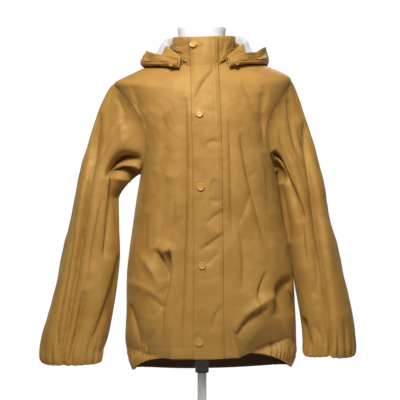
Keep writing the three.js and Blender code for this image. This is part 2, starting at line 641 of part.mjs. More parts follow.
// Hood, detachable and let down. Each row is a section at a bearing round the neck, from the left tab (33) by
// the back (180) to the right tab (327). The cloth goes from the neckline over the crest, down inside the pouch,
// round its low fold and up again outside to the rim. Radii are from the neck's middle.
const hoodLevels = [
  { at: 33, neckR: 79, neckZ: 735, crestR: 82, crestZ: 744, innerR: 86, innerZ: 737, lowR: 90, lowZ: 724,
    outerR: 96, outerZ: 730, rimR: 94, rimZ: 742 },
  { at: 50, neckR: 74, neckZ: 742, crestR: 78, crestZ: 757, innerR: 86, innerZ: 746, lowR: 94, lowZ: 728,
    outerR: 103, outerZ: 735, rimR: 98, rimZ: 750 },
  { at: 70, neckR: 67, neckZ: 749, crestR: 75, crestZ: 767, innerR: 90, innerZ: 752, lowR: 110, lowZ: 731,
    outerR: 119, outerZ: 740, rimR: 107, rimZ: 757 },
  { at: 92, neckR: 65, neckZ: 755, crestR: 77, crestZ: 778, innerR: 96, innerZ: 756, lowR: 119, lowZ: 733,
    outerR: 127, outerZ: 744, rimR: 113, rimZ: 765 },
  { at: 115, neckR: 67, neckZ: 758, crestR: 82, crestZ: 792, innerR: 102, innerZ: 760, lowR: 124, lowZ: 731,
    outerR: 136, outerZ: 743, rimR: 124, rimZ: 767 },
  { at: 128, neckR: 67, neckZ: 760, crestR: 86, crestZ: 799, innerR: 108, innerZ: 753, lowR: 133, lowZ: 719,
    outerR: 149, outerZ: 732, rimR: 138, rimZ: 763 },
  { at: 140, neckR: 66, neckZ: 762, crestR: 88, crestZ: 805, innerR: 118, innerZ: 738, lowR: 136, lowZ: 646,
    outerR: 156, outerZ: 688, rimR: 146, rimZ: 757 },
  { at: 180, neckR: 67, neckZ: 766, crestR: 80, crestZ: 814, innerR: 106, innerZ: 732, lowR: 126, lowZ: 588,
    outerR: 154, outerZ: 660, rimR: 147, rimZ: 748 },
  { at: 220, neckR: 66, neckZ: 762, crestR: 90, crestZ: 810, innerR: 119, innerZ: 738, lowR: 137, lowZ: 646,
    outerR: 157, outerZ: 688, rimR: 148, rimZ: 759 },
  { at: 232, neckR: 67, neckZ: 761, crestR: 89, crestZ: 806, innerR: 109, innerZ: 757, lowR: 134, lowZ: 721,
    outerR: 150, outerZ: 734, rimR: 141, rimZ: 766 },
  { at: 245, neckR: 67, neckZ: 760, crestR: 88, crestZ: 801, innerR: 104, innerZ: 764, lowR: 126, lowZ: 734,
    outerR: 141, outerZ: 742, rimR: 131, rimZ: 770 },
  { at: 268, neckR: 65, neckZ: 757, crestR: 82, crestZ: 784, innerR: 98, innerZ: 761, lowR: 122, lowZ: 737,
    outerR: 129, outerZ: 748, rimR: 122, rimZ: 772 },
  { at: 290, neckR: 66, neckZ: 751, crestR: 76, crestZ: 771, innerR: 90, innerZ: 756, lowR: 111, lowZ: 735,
    outerR: 119, outerZ: 744, rimR: 110, rimZ: 760 },
  { at: 310, neckR: 73, neckZ: 744, crestR: 78, crestZ: 760, innerR: 86, innerZ: 749, lowR: 94, lowZ: 731,
    outerR: 103, outerZ: 738, rimR: 99, rimZ: 753 },
  { at: 327, neckR: 79, neckZ: 737, crestR: 82, crestZ: 746, innerR: 86, innerZ: 739, lowR: 90, lowZ: 726,
    outerR: 96, outerZ: 732, rimR: 94, rimZ: 744 },
];
const hoodStops = ["neck", "crest", "inner", "low", "outer", "rim"];
const hoodColumns = 30;
const hoodStepsPerStop = 3;

function hoodPoint(bearing, along) {
  const stops = hoodStops.map((stop, index) => ({
    at: index,
    radius: sample(hoodLevels, stop + "R", bearing),
    height: sample(hoodLevels, stop + "Z", bearing),
  }));
  const radius = sample(stops, "radius", along);
  const height = sample(stops, "height", along);
  return vector(
    centreX - radius * Math.sin(radians(bearing)),
    -radius * Math.cos(radians(bearing)),
    height,
  );
}

function hoodNormal(bearing, along) {
  const step = 0.02;
  const backStep = along > hoodStops.length - 1 - step ? -1 : 1;
  const here = hoodPoint(bearing, along);
  const across = hoodPoint(bearing + 0.5, along).sub(here);
  const up = hoodPoint(bearing, along + backStep * step).sub(here).multiplyScalar(backStep);
  return up.cross(across).normalize();
}

function hoodRows() {
  const rows = [];
  const first = hoodLevels[0].at;
  const last = hoodLevels[hoodLevels.length - 1].at;
  const steps = hoodStepsPerStop * (hoodStops.length - 1);
  for (let step = 0; step <= steps; step += 1) {
    const row = [];
    for (let i = 0; i <= hoodColumns; i += 1) {
      const bearing = mix(first, last, i / hoodColumns);
      const outward = hoodNormal(bearing, step / hoodStepsPerStop);
      row.push(pairAt(hoodPoint(bearing, step / hoodStepsPerStop), outward, i / hoodColumns, layerWall));
    }
    rows.push(row);
  }
  return rows;
}
addPiece("hood", wallGeometry(hoodRows(), { flip: true }), materials.cloth);

const hoodSnapRadius = 5.5;
const hoodSnapBearings = { hood_snap_left: 40, hood_snap_right: 320 };
const hoodSnapStop = hoodStops.indexOf("outer");
for (const [name, bearing] of Object.entries(hoodSnapBearings)) {
  const outward = hoodNormal(bearing, hoodSnapStop);
  const point = hoodPoint(bearing, hoodSnapStop).addScaledVector(outward, snapGap);
  addSnap(name, point, outward, hoodSnapRadius, snapHeight);
}

// Dress form: smooth and whole from the hips to the neck. It carries the coat along its shoulders.
const carryDrop = 3; // how far the coat's outer face lies above the form there
const formLevels = [
  { at: 236, left: 16, right: 16, front: 16, back: 16, centre: 0 },
  { at: 240, left: 60, right: 60, front: 48, back: 48, centre: 0 },
  { at: 256, left: 98, right: 98, front: 74, back: 74, centre: 0 },
  { at: 300, left: 112, right: 112, front: 84, back: 86, centre: 1 },
  { at: 350, left: 110, right: 110, front: 82, back: 84, centre: 2 },
  { at: 430, left: 98, right: 98, front: 78, back: 76, centre: 3 },
  { at: 520, left: 104, right: 104, front: 84, back: 80, centre: 4 },
  { at: 600, left: 108, right: 108, front: 86, back: 82, centre: 4 },
  { at: 660, left: 122, right: 122, front: 74, back: 80, centre: 4 },
  { at: 694, left: 136, right: 138, front: 62, back: 70, centre: 4 },
  { at: 712, left: 150, right: 150, front: 54, back: 58, centre: 4 },
  { at: 722, left: 150, right: 150, front: 50, back: 52, centre: 4 },
  { at: 736, left: 100, right: 100, front: 47, back: 47, centre: 4 },
  { at: 746, left: 52, right: 50, front: 44, back: 44, centre: 1 },
  { at: 762, left: 44, right: 44, front: 42, back: 42, centre: 0 },
  { at: 785, left: 46, right: 46, front: 43, back: 43, centre: -0.5 },
  { at: 811, left: 48.5, right: 48.5, front: 45, back: 45, centre: -0.5 },
];
const formRings = [240, 256, 300, 350, 430, 520, 600, 660, 694, 708, 718, 728, 738, 748, 762, 785, 811];
const formSides = 28;
const resting = { from: 700, to: 745 }; // the heights between which the coat lies on the form
const leaning = { from: 600, full: 660, level: 760, fade: 30 }; // where the shoulders lean as the coat does

function formRing(at) {
  const leanIn = smooth((at - leaning.from) / (leaning.full - leaning.from));
  const leanOut = smooth((leaning.level - at) / leaning.fade);
  const ring = [];
  for (let i = 0; i < formSides; i += 1) {
    const angle = (2 * Math.PI * i) / formSides;
    const s = Math.sin(angle);
    const c = Math.cos(angle);
    const side = s < 0 ? "left" : "right";
    const rests = at > resting.from && at < resting.to;
    const carried = rests ? sample(bodyLevels, side, at + carryDrop) : Infinity;
    const half = Math.min(sample(formLevels, side, at), carried);
    const deep = sample(formLevels, c > 0 ? "front" : "back", at);
    const x = sample(formLevels, "centre", at) + half * s;
    ring.push(vector(x, -deep * c, at + lean * leanIn * leanOut * x));
  }
  return ring;
}

// A closed solid through rings of points, with a flat cap at each end
function ringSolid(rings) {
  const positions = [];
  const add = (a, b, c) => {
    for (const point of [a, b, c]) positions.push(point.x, point.y, point.z);
  };
  for (let row = 0; row < rings.length - 1; row += 1) {
    for (let i = 0; i < rings[row].length; i += 1) {
      const next = (i + 1) % rings[row].length;
      add(rings[row][i], rings[row][next], rings[row + 1][i]);
      add(rings[row][next], rings[row + 1][next], rings[row + 1][i]);
    }
  }
  const bottom = rings[0];
  const top = rings[rings.length - 1];
  for (let i = 1; i < bottom.length - 1; i += 1) {
    add(bottom[0], bottom[i + 1], bottom[i]);
    add(top[0], top[i], top[i + 1]);
  }
  const geometry = new THREE.BufferGeometry();
  geometry.setAttribute("position", new THREE.Float32BufferAttribute(positions, 3));
  geometry.computeVertexNormals();
  return geometry;
}
addPiece("dress_form", ringSolid(formRings.map(formRing)), materials.form);

// Stand: a dark socket under the form, a thinner pale pole in line with it, and a round weighted base
const socket = { radius: 13.5, top: 240 - seamGap, bottom: 121 };
const pole = { radius: 9, bottom: 12 + seamGap };
const base = { radius: 135, height: 12, bevel: 3 };

function addColumn(name, radius, bottom, top, material) {
  const geometry = new THREE.CylinderGeometry(radius, radius, top - bottom, 24);
  geometry.rotateX(Math.PI / 2);
  geometry.translate(0, 0, (top + bottom) / 2);
  addPiece(name, geometry, material);
}
addColumn("form_socket", socket.radius, socket.bottom, socket.top, materials.darkMetal);
addColumn("pole", pole.radius, pole.bottom, socket.bottom - seamGap, materials.paleMetal);
const baseProfile = [
  [0, 0],
  [base.radius, 0],
  [base.radius, base.height - base.bevel],
  [base.radius - base.bevel, base.height],
  [0, base.height],
].map(([across, up]) => new THREE.Vector2(across, up));
const baseGeometry = new THREE.LatheGeometry(baseProfile, 40);
baseGeometry.rotateX(Math.PI / 2);
addPiece("base", baseGeometry, materials.paleMetal);

export default group;
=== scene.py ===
"""A child's hooded raincoat, closed and filled out on a dress form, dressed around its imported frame."""

import bpy
import numpy as np
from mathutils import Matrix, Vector


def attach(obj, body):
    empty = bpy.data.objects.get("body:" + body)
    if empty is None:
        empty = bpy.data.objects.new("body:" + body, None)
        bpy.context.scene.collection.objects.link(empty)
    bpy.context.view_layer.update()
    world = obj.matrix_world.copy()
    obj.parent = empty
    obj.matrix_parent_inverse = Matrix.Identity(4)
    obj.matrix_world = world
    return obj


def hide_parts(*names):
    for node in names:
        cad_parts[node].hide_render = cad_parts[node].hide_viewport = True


bl_info = {
    "name": "Kids raincoat on a dress form",
    "version": (1, 0, 0),
    "blender": (4, 5, 0),
    "location": "View3D > Sidebar > Raincoat",
    "description": "Builds a child's raincoat with its folds, stitching, snaps and hood on a dress form",
    "category": "Object",
}

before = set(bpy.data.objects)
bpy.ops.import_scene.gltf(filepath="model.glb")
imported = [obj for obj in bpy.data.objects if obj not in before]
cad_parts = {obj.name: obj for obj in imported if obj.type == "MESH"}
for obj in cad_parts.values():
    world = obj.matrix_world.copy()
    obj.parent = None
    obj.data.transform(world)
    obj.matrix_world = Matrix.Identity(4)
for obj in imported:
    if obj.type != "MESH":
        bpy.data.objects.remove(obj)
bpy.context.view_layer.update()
MM = 0.001
BODY = "root"


def colour(text):
    """A colour as sRGB hex, turned linear for the shader."""
    parts = [int(text[i : i + 2], 16) / 255 for i in (0, 2, 4)]
    linear = [v / 12.92 if v <= 0.04045 else ((v + 0.055) / 1.055) ** 2.4 for v in parts]
    return (*linear, 1.0)


class Table:
    """A short table of sizes in millimetres: a row for each section, in order of its first column."""

    def __init__(self, names, rows):
        self.names = names.split()
        self.rows = np.array(rows, dtype=float)

    def column(self, name):
        return self.rows[:, self.names.index(name)]

    def at(self, name, where):
        """The smooth curve through one column, at one place or many."""
        places, values = self.rows[:, 0], self.column(name)
        where = np.clip(np.asarray(where, dtype=float), places[0], places[-1])
        low = np.clip(np.searchsorted(places, where, side="right") - 1, 0, len(places) - 2)
        slopes = np.empty_like(values)
        slopes[1:-1] = (values[2:] - values[:-2]) / (places[2:] - places[:-2])
        slopes[0] = (values[1] - values[0]) / (places[1] - places[0])
        slopes[-1] = (values[-1] - values[-2]) / (places[-1] - places[-2])
        span = places[low + 1] - places[low]
        t = (where - places[low]) / span
        first = (1 + 2 * t) * (1 - t) ** 2 * values[low] + t * (1 - t) ** 2 * span * slopes[low]
        last = t * t * (3 - 2 * t) * values[low + 1] + t * t * (t - 1) * span * slopes[low + 1]
        return first + last


# Driving sizes, in millimetres, as the frame's solids have them
CLOTH = 1.0
UNDERARM = 518.0
SHOULDER_TIP = 703.0
NECK = 752.0
LEAN = 0.018
CENTRE_X = 4.0
FRONT_REACH = 30.0
BACK_REACH = 26.0
OPENING_TURN = 2.2
SEAM_GAP = 0.3
ARMHOLE_MIDDLE = (SHOULDER_TIP + UNDERARM) / 2
ARMHOLE_HALF = (SHOULDER_TIP - UNDERARM) / 2
ARMHOLE_FADE = 0.22
SEAM_DIP = 0.8
SEAM_DIP_WIDTH = 3.0
SIDE_RADIUS = 130.0
FRONT_RADIUS = 118.0
HALF_GAP_TURN = np.degrees(SEAM_GAP / 2 / SIDE_RADIUS)
HEM_BOTTOM = 130.0
HEM_STITCH = 156.0

BODY_LEVELS = Table(
    "at left right front back front_lift back_lift square",
    [
        (130, 142, 174, 118, 122, 30, -14, 2.4),
        (158, 151, 183, 122, 127, 26, -12, 2.4),
        (190, 157, 184, 125, 129, 20, -9, 2.4),
        (250, 155, 182, 125, 128, 11, -5, 2.4),
        (320, 154, 177, 122, 124, 4, 0, 2.4),
        (370, 149, 168, 120, 120, 0, 0, 2.4),
        (420, 142, 157, 118, 117, 0, 0, 2.4),
        (470, 135, 150, 117, 114, 0, 0, 2.4),
        (535, 125, 141, 115, 111, 0, 0, 2.4),
        (580, 128, 138, 111, 110, -1, 0, 2.35),
        (620, 141, 145, 106, 109, -3, 0, 2.3),
        (660, 161, 162, 99, 106, -8, 1, 2.2),
        (690, 176, 173, 93, 102, -14, 2, 2.1),
        (703, 179, 174, 90, 98, -18, 3, 2.1),
        (711, 165, 168, 88, 95, -20, 5, 2.1),
        (720, 145, 151, 86, 90, -22, 7, 2.1),
        (730, 123, 127, 83, 84, -25, 9, 2.1),
        (742, 88, 90, 79, 72, -28, 10, 2.1),
        (752, 60, 59, 75, 60, -30, 10, 2.1),
    ],
)

# Creases, each from its start by its middle to its end as seen from the front: x0, z0, x1, z1, x2, z2,
# width, depth, side. A negative depth is a ridge. A crease is steep on one side, and side is where its slow
# slope lies, looking along it: left (1), right (-1) or both (0).
FRONT_CREASES = (
    # the long fall beside the flap, and the soft ones round it on the left
    (-32, 664, -33, 450, -43, 174, 6.0, 11.0, -1),
    (-76, 266, -77, 222, -82, 184, 4, 4.5, -1),
    (-79, 628, -74, 592, -90, 524, 7, 7.0, 1),
    (-70, 510, -80, 440, -86, 372, 12, 8.0, 1),
    (-58, 480, -56, 430, -66, 380, 8, 3.0, -1),
    # the pit, its bulge and the V below it
    (-67, 368, -66, 336, -76, 256, 4.5, 20.0, -1),
    (-94, 370, -82, 350, -70, 312, 6.5, 15.0, 0),
    (-122, 362, -98, 330, -80, 290, 11, -7.0, 0),
    (-146, 306, -110, 296, -72, 268, 12, -8.0, -1),
    (-156, 182, -112, 162, -60, 160, 14, 12.0, 1),
    (-108, 284, -88, 270, -74, 250, 7, 4.0, -1),
    (-140, 260, -132, 222, -126, 170, 4, 8.0, 1),
    (-94, 214, -104, 196, -116, 176, 4, 5.0, -1),
    (-106, 440, -112, 400, -104, 350, 9, 4.0, -1),
    # the right chest and the long fall from the armhole
    (76, 696, 96, 655, 120, 606, 5, 3.5, 1),
    (74, 596, 92, 506, 126, 372, 6, 9.0, 1),
    (96, 482, 84, 446, 66, 410, 6, 3.5, -1),
    (52, 626, 56, 500, 58, 386, 6.5, 4.5, 1),
    (70, 420, 80, 350, 76, 290, 8, 5.0, 1),
    # the overhang, the hollow under it and the facets to its right
    (150, 282, 106, 262, 66, 210, 12, -15.0, 1),
    (178, 198, 126, 172, 74, 156, 15, 27.0, -1),
    (127, 258, 92, 243, 68, 204, 5, 19.0, 1),
    (122, 214, 106, 196, 92, 172, 5, 7.0, 1),
    (178, 308, 152, 296, 144, 238, 7, 20.0, 1),
    (126, 330, 110, 288, 114, 254, 3.5, 6.0, 1),
    # pulls below the shoulders and beside the armholes
    (-138, 692, -132, 660, -124, 634, 5.0, 4.5, 1),
    (120, 690, 125, 664, 122, 638, 5.0, 4.5, -1),
    (-108, 640, -116, 610, -122, 585, 6, 3.0, 1),
    (118, 676, 121, 620, 126, 560, 6, 6.0, -1),
    (-110, 560, -120, 500, -118, 440, 9, 3.5, -1),
    (118, 560, 128, 500, 132, 440, 8, 3.0, 1),
)
BACK_CREASES = (
    (-66, 580, -74, 400, -98, 180, 11, 6.5, 1),
    (-22, 500, -20, 330, -32, 170, 10, 4.0, -1),
    (42, 560, 46, 380, 66, 170, 11, 6.0, -1),
    (100, 480, 114, 350, 134, 215, 9, 6.5, 1),
    (-130, 430, -112, 380, -88, 330, 8, 5.0, 1),
    (-118, 300, -104, 262, -78, 238, 7, 7.0, -1),
    (84, 330, 92, 300, 80, 250, 8, 5.0, 1),
    (-96, 690, -106, 640, -104, 560, 7, 4.0, 1),
    (104, 690, 112, 640, 112, 560, 7, 4.0, -1),
    (14, 420, 18, 320, 12, 240, 9, 3.0, 1),
)
FLAP_CREASES = (
    (26, 720, 0, 690, -20, 642, 5, 4.0, 1),
    (8, 574, 20, 580, 34, 574, 4, 2.6, -1),
    (24, 508, 18, 490, 22, 470, 4, 2.4, 1),
    (14, 470, 26, 462, 40, 466, 5, 2.6, 1),
    (44, 446, 24, 436, 8, 418, 5, 3.0, 1),
    (48, 404, 22, 388, -6, 366, 5, 4.5, 1),
    (34, 366, 20, 352, 4, 336, 4, 3.0, -1),
    (38, 262, 26, 246, 18, 214, 5, 3.0, 1),
    (-20, 764, -6, 762, 6, 775, 4, 2.2, 1),
    (-4, 214, -10, 204, -14, 196, 4, 2.4, 1),
)

# The front hem runs level and drops at its ends, and is tucked up a little at one place
HEM_FLATNESS = 4.0
HEM_FLAT_BELOW = 225.0
HEM_FLAT_FADE = 60.0
HEM_TUCK_X = 122.0
HEM_TUCK_HALF = 30.0
HEM_TUCK_RISE = 3.5

GATHER_TOP = 170.0
GATHER_DEPTH = 4.0
GATHER_HALF_TURN = 46.0
GATHER_FADE = 14.0
GATHER_FADE_TURN = 6.0
GATHERS_PER_SIDE = 23
WRIST_GATHERS = 20
WRIST_GATHER_DEPTH = 4.2
SNAP_RADIUS = 7.5
STITCH = 2.6
STITCH_GAP = 0.9
STITCH_HALF = 0.32
CREASE_SHARPNESS = 1.15
SLOW_SLOPE = 2.6
STEEP_SLOPE = 0.7


# What a user would change
def length(name, description, default):
    """A size, given in millimetres and kept in metres."""
    return bpy.props.FloatProperty(
        name=name, description=description, default=default * MM, min=0, max=20 * default * MM, precision=5,
        unit="LENGTH",
    )


def factor(name, description):
    return bpy.props.FloatProperty(
        name=name, description=description, default=1.0, min=0, max=1.5, subtype="FACTOR"
    )


def tint(name, description, default):
    return bpy.props.FloatVectorProperty(
        name=name, description=description, default=colour(default), size=4, min=0, max=1, subtype="COLOR"
    )


class RaincoatSizes(bpy.types.PropertyGroup):
    """Sizes of the cloth and its trim."""

    cloth: length("Cloth", "Thickness of the coated cloth", CLOTH)
    flap_cloth: length("Flap cloth", "Thickness of the storm flap", 0.8)
    hem_gathers: length("Hem gathers", "Depth of the elastic gathers along the hem", GATHER_DEPTH)
    wrist_gathers: length("Wrist gathers", "Depth of the elastic gathers at the wrists", WRIST_GATHER_DEPTH)
    stitch: length("Stitch", "Length of one stitch", STITCH)
    snap_radius: length("Snap radius", "Radius of the caps down the storm flap", SNAP_RADIUS)
    folds: factor("Folds", "Depth of the large folds, against those of the photo")
    crumples: factor("Crumples", "Depth of the small facets of the stiff cloth")


class RaincoatColours(bpy.types.PropertyGroup):
    """Colours of the cloth, its trim and the dress form."""

    cloth_deep: tint("Cloth, deep", "The darker patches of the coated face", "986D31")
    cloth_light: tint("Cloth, light", "The lighter patches of the coated face", "A4793B")
    # The inside's two dark browns are painted shade: the coat's inside takes the darkness it shows in shadow at
    # the hem, with a fine loop pattern between them.
    inside_deep: tint("Inside, deep", "Between the loops of the uncoated face", "3A2510")
    inside_light: tint("Inside, light", "On the loops of the uncoated face", "5A3E1E")
    lining_deep: tint("Lining, deep", "The hood's brushed lining, against its nap", "A9A8AA")
    lining_light: tint("Lining, light", "The hood's brushed lining, along its nap", "C8C7C8")
    snap: tint("Snaps", "Moulded caps", "B8893F")
    thread_deep: tint("Thread, deep", "Shaded turns of the sewing thread", "94682A")
    thread_light: tint("Thread, light", "Lit turns of the sewing thread", "AC7F3A")
    form: tint("Form", "Painted shell of the dress form", "E6E4E1")
    socket: tint("Socket", "Dark tube under the form", "3B3834")
    stand: tint("Stand", "Powder coat of the pole and base", "F0F0EE")


class RaincoatStage(bpy.types.PropertyGroup):
    """The studio round the coat."""

    key_power: bpy.props.FloatProperty(
        name="Key light", description="Power of the main lamp", default=43, min=0, max=200, unit="POWER"
    )
    frame_height: bpy.props.FloatProperty(
        name="Frame height", description="Height that the picture shows at the coat",
        default=0.8, min=0.1, max=3, unit="LENGTH",
    )
    floor: tint("Floor", "Plain pale floor", "DEDEDC")


def sizes():
    return bpy.context.scene.raincoat_sizes


def colours():
    return bpy.context.scene.raincoat_colours


def smooth(value):
    t = np.clip(value, 0, 1)
    return t * t * (3 - 2 * t)


def signed_power(value, power):
    return np.sign(value) * np.abs(value) ** power


def cloth_drift(a, b, scale, seed):
    """A soft uneven field between about -1 and 1, from waves that never line up. scale is its bump size."""
    total = 0
    for step in range(5):
        angle = seed * 1.7 + step * 2.399
        pitch = 2 * np.pi / (scale * (1 + 0.37 * step))
        along = a * np.cos(angle) + b * np.sin(angle)
        across = b * np.cos(angle) - a * np.sin(angle)
        total = total + np.sin(pitch * along + seed + 1.3 * np.sin(0.6 * pitch * across + step))
    return total / 5


def crumple(a, b, scale, seed):
    """The small facets of stiff coated cloth: flat patches that meet in narrow valleys."""
    return 1.5 * sizes().crumples * (np.abs(cloth_drift(a, b, scale, seed)) - 0.3)


def crease_move(creases, x, z):
    """How far a set of creases sinks each point. Each follows its own bent line and fades out at its ends."""
    sink = np.zeros_like(x)
    steps = np.linspace(0, 1, 11)
    for x0, z0, x1, z1, x2, z2, width, depth, side in creases:
        line_x = (1 - steps) ** 2 * x0 + 2 * steps * (1 - steps) * (2 * x1 - (x0 + x2) / 2) + steps**2 * x2
        line_z = (1 - steps) ** 2 * z0 + 2 * steps * (1 - steps) * (2 * z1 - (z0 + z2) / 2) + steps**2 * z2
        best = np.full(x.shape, 1e9)
        along = np.zeros_like(x)
        hand = np.zeros_like(x)
        for i in range(len(steps) - 1):
            dx, dz = line_x[i + 1] - line_x[i], line_z[i + 1] - line_z[i]
            span = dx * dx + dz * dz
            t = np.clip(((x - line_x[i]) * dx + (z - line_z[i]) * dz) / span, 0, 1)
            off_x, off_z = x - line_x[i] - t * dx, z - line_z[i] - t * dz
            away = np.hypot(off_x, off_z)
            near = away < best
            best = np.where(near, away, best)
            along = np.where(near, (i + t) / (len(steps) - 1), along)
            hand = np.where(near, np.sign(dx * off_z - dz * off_x), hand)
        fade = np.abs(np.sin(np.pi * along)) ** 0.6
        swell = width * (0.75 + 0.5 * along)
        slope = np.where(hand * side > 0, SLOW_SLOPE, np.where(hand * side < 0, STEEP_SLOPE, 1.0))
        sink += depth * fade * np.exp(-((best / (swell * slope)) ** CREASE_SHARPNESS))
    return sink * sizes().folds


def folded_turn(turn):
    """A turn from the middle of the front, from -180 to 180."""
    return np.where(turn > 180, turn - 360, turn)


def at_side_seam(turn):
    return abs(abs(folded_turn(turn)) - 90) < 0.01


def body_plain(turn, at):
    """The body's plain surface, by the turn from the middle of the front and the level on the side seam."""
    turn, at = np.broadcast_arrays(np.asarray(turn, float), np.asarray(at, float))
    s, c = np.sin(np.radians(turn)), np.cos(np.radians(turn))
    power = 2 / BODY_LEVELS.at("square", at)
    half = np.where(s < 0, BODY_LEVELS.at("left", at), BODY_LEVELS.at("right", at))
    deep = np.where(c > 0, BODY_LEVELS.at("front", at), BODY_LEVELS.at("back", at))
    x = CENTRE_X + half * signed_power(s, power)
    low = smooth((HEM_FLAT_BELOW - at) / HEM_FLAT_FADE) * (c > 0)
    middle_lift = np.where(c > 0, BODY_LEVELS.at("front_lift", at), BODY_LEVELS.at("back_lift", at))
    lift = (1 - np.abs(s) ** (2 + HEM_FLATNESS * low)) * middle_lift
    lift = lift + HEM_TUCK_RISE * low * np.exp(-(((x - HEM_TUCK_X) / HEM_TUCK_HALF) ** 2))
    return np.stack([x, -deep * signed_power(c, power), at + lift + LEAN * x], axis=-1)


def unit(vectors):
    return vectors / np.maximum(np.linalg.norm(vectors, axis=-1, keepdims=True), 1e-9)


def body_outward(turn, at):
    """The direction out of the body's plain surface."""
    step = np.where(np.asarray(at) > NECK - 1.5, -1.0, 1.0)
    here = body_plain(turn, at)
    across = body_plain(turn + 0.4, at) - here
    up = (body_plain(turn, at + step) - here) * step[..., None]
    return unit(np.cross(across, up))


def pinched(phase):
    """A gathered wave: round puffs with narrow valleys between them."""
    return 1.7 * np.abs(np.sin(phase / 2)) ** 0.65 - 1.2


def gather_move(turn, at):
    """The elastic gathers along the hem at both sides, uneven in height, depth and spacing."""
    folded = folded_turn(turn)
    past = np.abs(folded) - 90
    place = (past + GATHER_HALF_TURN) / (2 * GATHER_HALF_TURN) * GATHERS_PER_SIDE
    uneven = 0.8 * np.sin(1.9 * place + np.sign(folded)) + 0.5 * np.sin(3.7 * place)
    height = GATHER_TOP + 9 * np.sin(1.7 * place + 2 * np.sign(folded))
    reach = smooth((GATHER_HALF_TURN - np.abs(past)) / GATHER_FADE_TURN) * smooth((height - at) / GATHER_FADE)
    phase = 2 * np.pi * place + uneven
    depth = sizes().hem_gathers / MM * (1 + 0.3 * np.sin(2.2 * place))
    return reach * depth * pinched(phase)


def from_armhole(turn, at):
    """0 at the armhole's seam, where the sleeve meets the panel, growing to 1 a little away from it."""
    folded = np.abs(folded_turn(turn))
    reach = np.where(folded < 90, FRONT_REACH, BACK_REACH)
    away = np.hypot((folded - 90) / reach, (at - ARMHOLE_MIDDLE) / ARMHOLE_HALF)
    return smooth((away - 1) / ARMHOLE_FADE)


def body_moves(turn, at, points):
    """All that the cloth of the body does beyond its plain surface."""
    facing = np.cos(np.radians(turn))
    shown = smooth(np.abs(facing) * 4) * from_armhole(turn, at)
    x, z = points[..., 0], points[..., 2]
    front = crease_move(FRONT_CREASES + FLAP_CREASES, x, z)
    back = crease_move(BACK_CREASES, x, z)
    sink = np.where(facing > 0, front, back) * shown
    loose = smooth((at - 180) / 60) * smooth((712 - at) / 60) * (0.15 + 0.85 * smooth(np.abs(facing) * 3))
    loose = loose * from_armhole(turn, at)
    drift = 1.6 * cloth_drift(turn * 1.9, at * 0.45, 62, 3) + crumple(turn * 2, at * 0.7, 36, 8)
    return gather_move(turn, at) - sink + loose * (drift + 0.3 * cloth_drift(turn * 2, at, 13, 5))


def body_point(turn, at):
    """The body's true surface and its outward direction."""
    turn, at = np.broadcast_arrays(np.asarray(turn, float), np.asarray(at, float))
    plain = body_plain(turn, at)
    outward = body_outward(turn, at)
    return plain + outward * body_moves(turn, at, plain)[..., None], outward


# Sleeves. Each row is a ring down the sleeve, as in the frame. The last rows turn in to the wrist.
SLEEVE_START = 470.0
SLEEVE_NAMES = "at x y drop half deep gather"
LEFT_SLEEVE = Table(
    SLEEVE_NAMES,
    [
        (0, -210, -4, 0, 44, 52, 0),
        (50, -214, -7, 50, 49, 54, 0),
        (108, -220, -10, 108, 57, 56, 0),
        (164, -228, -13, 164, 60, 57, 0),
        (216, -238, -16, 216, 62, 58, 0),
        (256, -247, -18, 256, 63, 58, 0.05),
        (290, -257, -20, 289, 62, 57, 0.6),
        (316, -259, -20, 315, 61.5, 55, 1),
        (328, -258, -20, 326, 57, 50, 1),
        (335, -257, -20, 329, 46, 43, 0.9),
        (338, -257, -20, 327, 38, 37, 0.8),
    ],
)
RIGHT_SLEEVE = Table(
    SLEEVE_NAMES,
    [
        (0, 201.2, -4, 0, 46.8, 52, 0),
        (42, 207.6, -6, 42, 47.2, 53, 0),
        (96, 220.2, -10, 96, 48.2, 55, 0),
        (154, 231.6, -13, 154, 49.9, 56, 0),
        (206, 242, -16, 206, 51, 56, 0),
        (252, 250, -18, 252, 52, 56, 0.05),
        (282, 252, -20, 281, 52, 54, 0.6),
        (304, 252, -20, 303, 51.5, 52, 1),
        (317, 252, -20, 313, 48, 47, 1),
        (325, 251, -20, 315, 40, 40, 0.9),
        (328, 251, -20, 313, 35, 36, 0.8),
    ],
)
LEFT_SLEEVE_CREASES = (
    # the long folds down its front, outer and inner
    (-214, 660, -204, 600, -208, 520, 7, 3.5, -1),
    (-206, 640, -244, 396, -276, 138, 4.0, 21.0, 1),
    (-177, 552, -180, 450, -192, 352, 4.5, 17.0, 1),
    (-164, 356, -178, 288, -214, 188, 4.5, 14.0, 1),
    (-234, 290, -244, 222, -259, 146, 4.0, 15.0, 1),
    (-240, 560, -262, 440, -282, 320, 7, 6.0, -1),
    (-196, 470, -212, 380, -222, 300, 6, 6.0, 1),
    (-252, 420, -272, 300, -290, 180, 5, 6.0, 1),
    (-220, 322, -230, 270, -236, 226, 9, 4.5, 0),
    (-284, 216, -285, 180, -283, 150, 3.5, 5.0, 1),
    (-184, 666, -194, 566, -204, 486, 7, 3.0, 1),
    # the lumps under the shoulder
    (-172, 672, -158, 640, -162, 616, 5, 5.0, 1),
    (-162, 622, -158, 590, -160, 556, 10, -5.0, 0),
    # the hollows and ridges under the arm
    (-186, 512, -166, 549, -120, 542, 8.0, 44.0, -1),
    (-170, 531, -146, 532, -120, 528, 4.5, -13.0, 0),
    (-178, 519, -148, 520, -116, 511, 5.0, 30.0, 0),
    (-172, 505, -148, 505, -124, 496, 4, -5.0, 0),
    (-158, 492, -142, 485, -126, 474, 3.5, 7.0, 0),
)
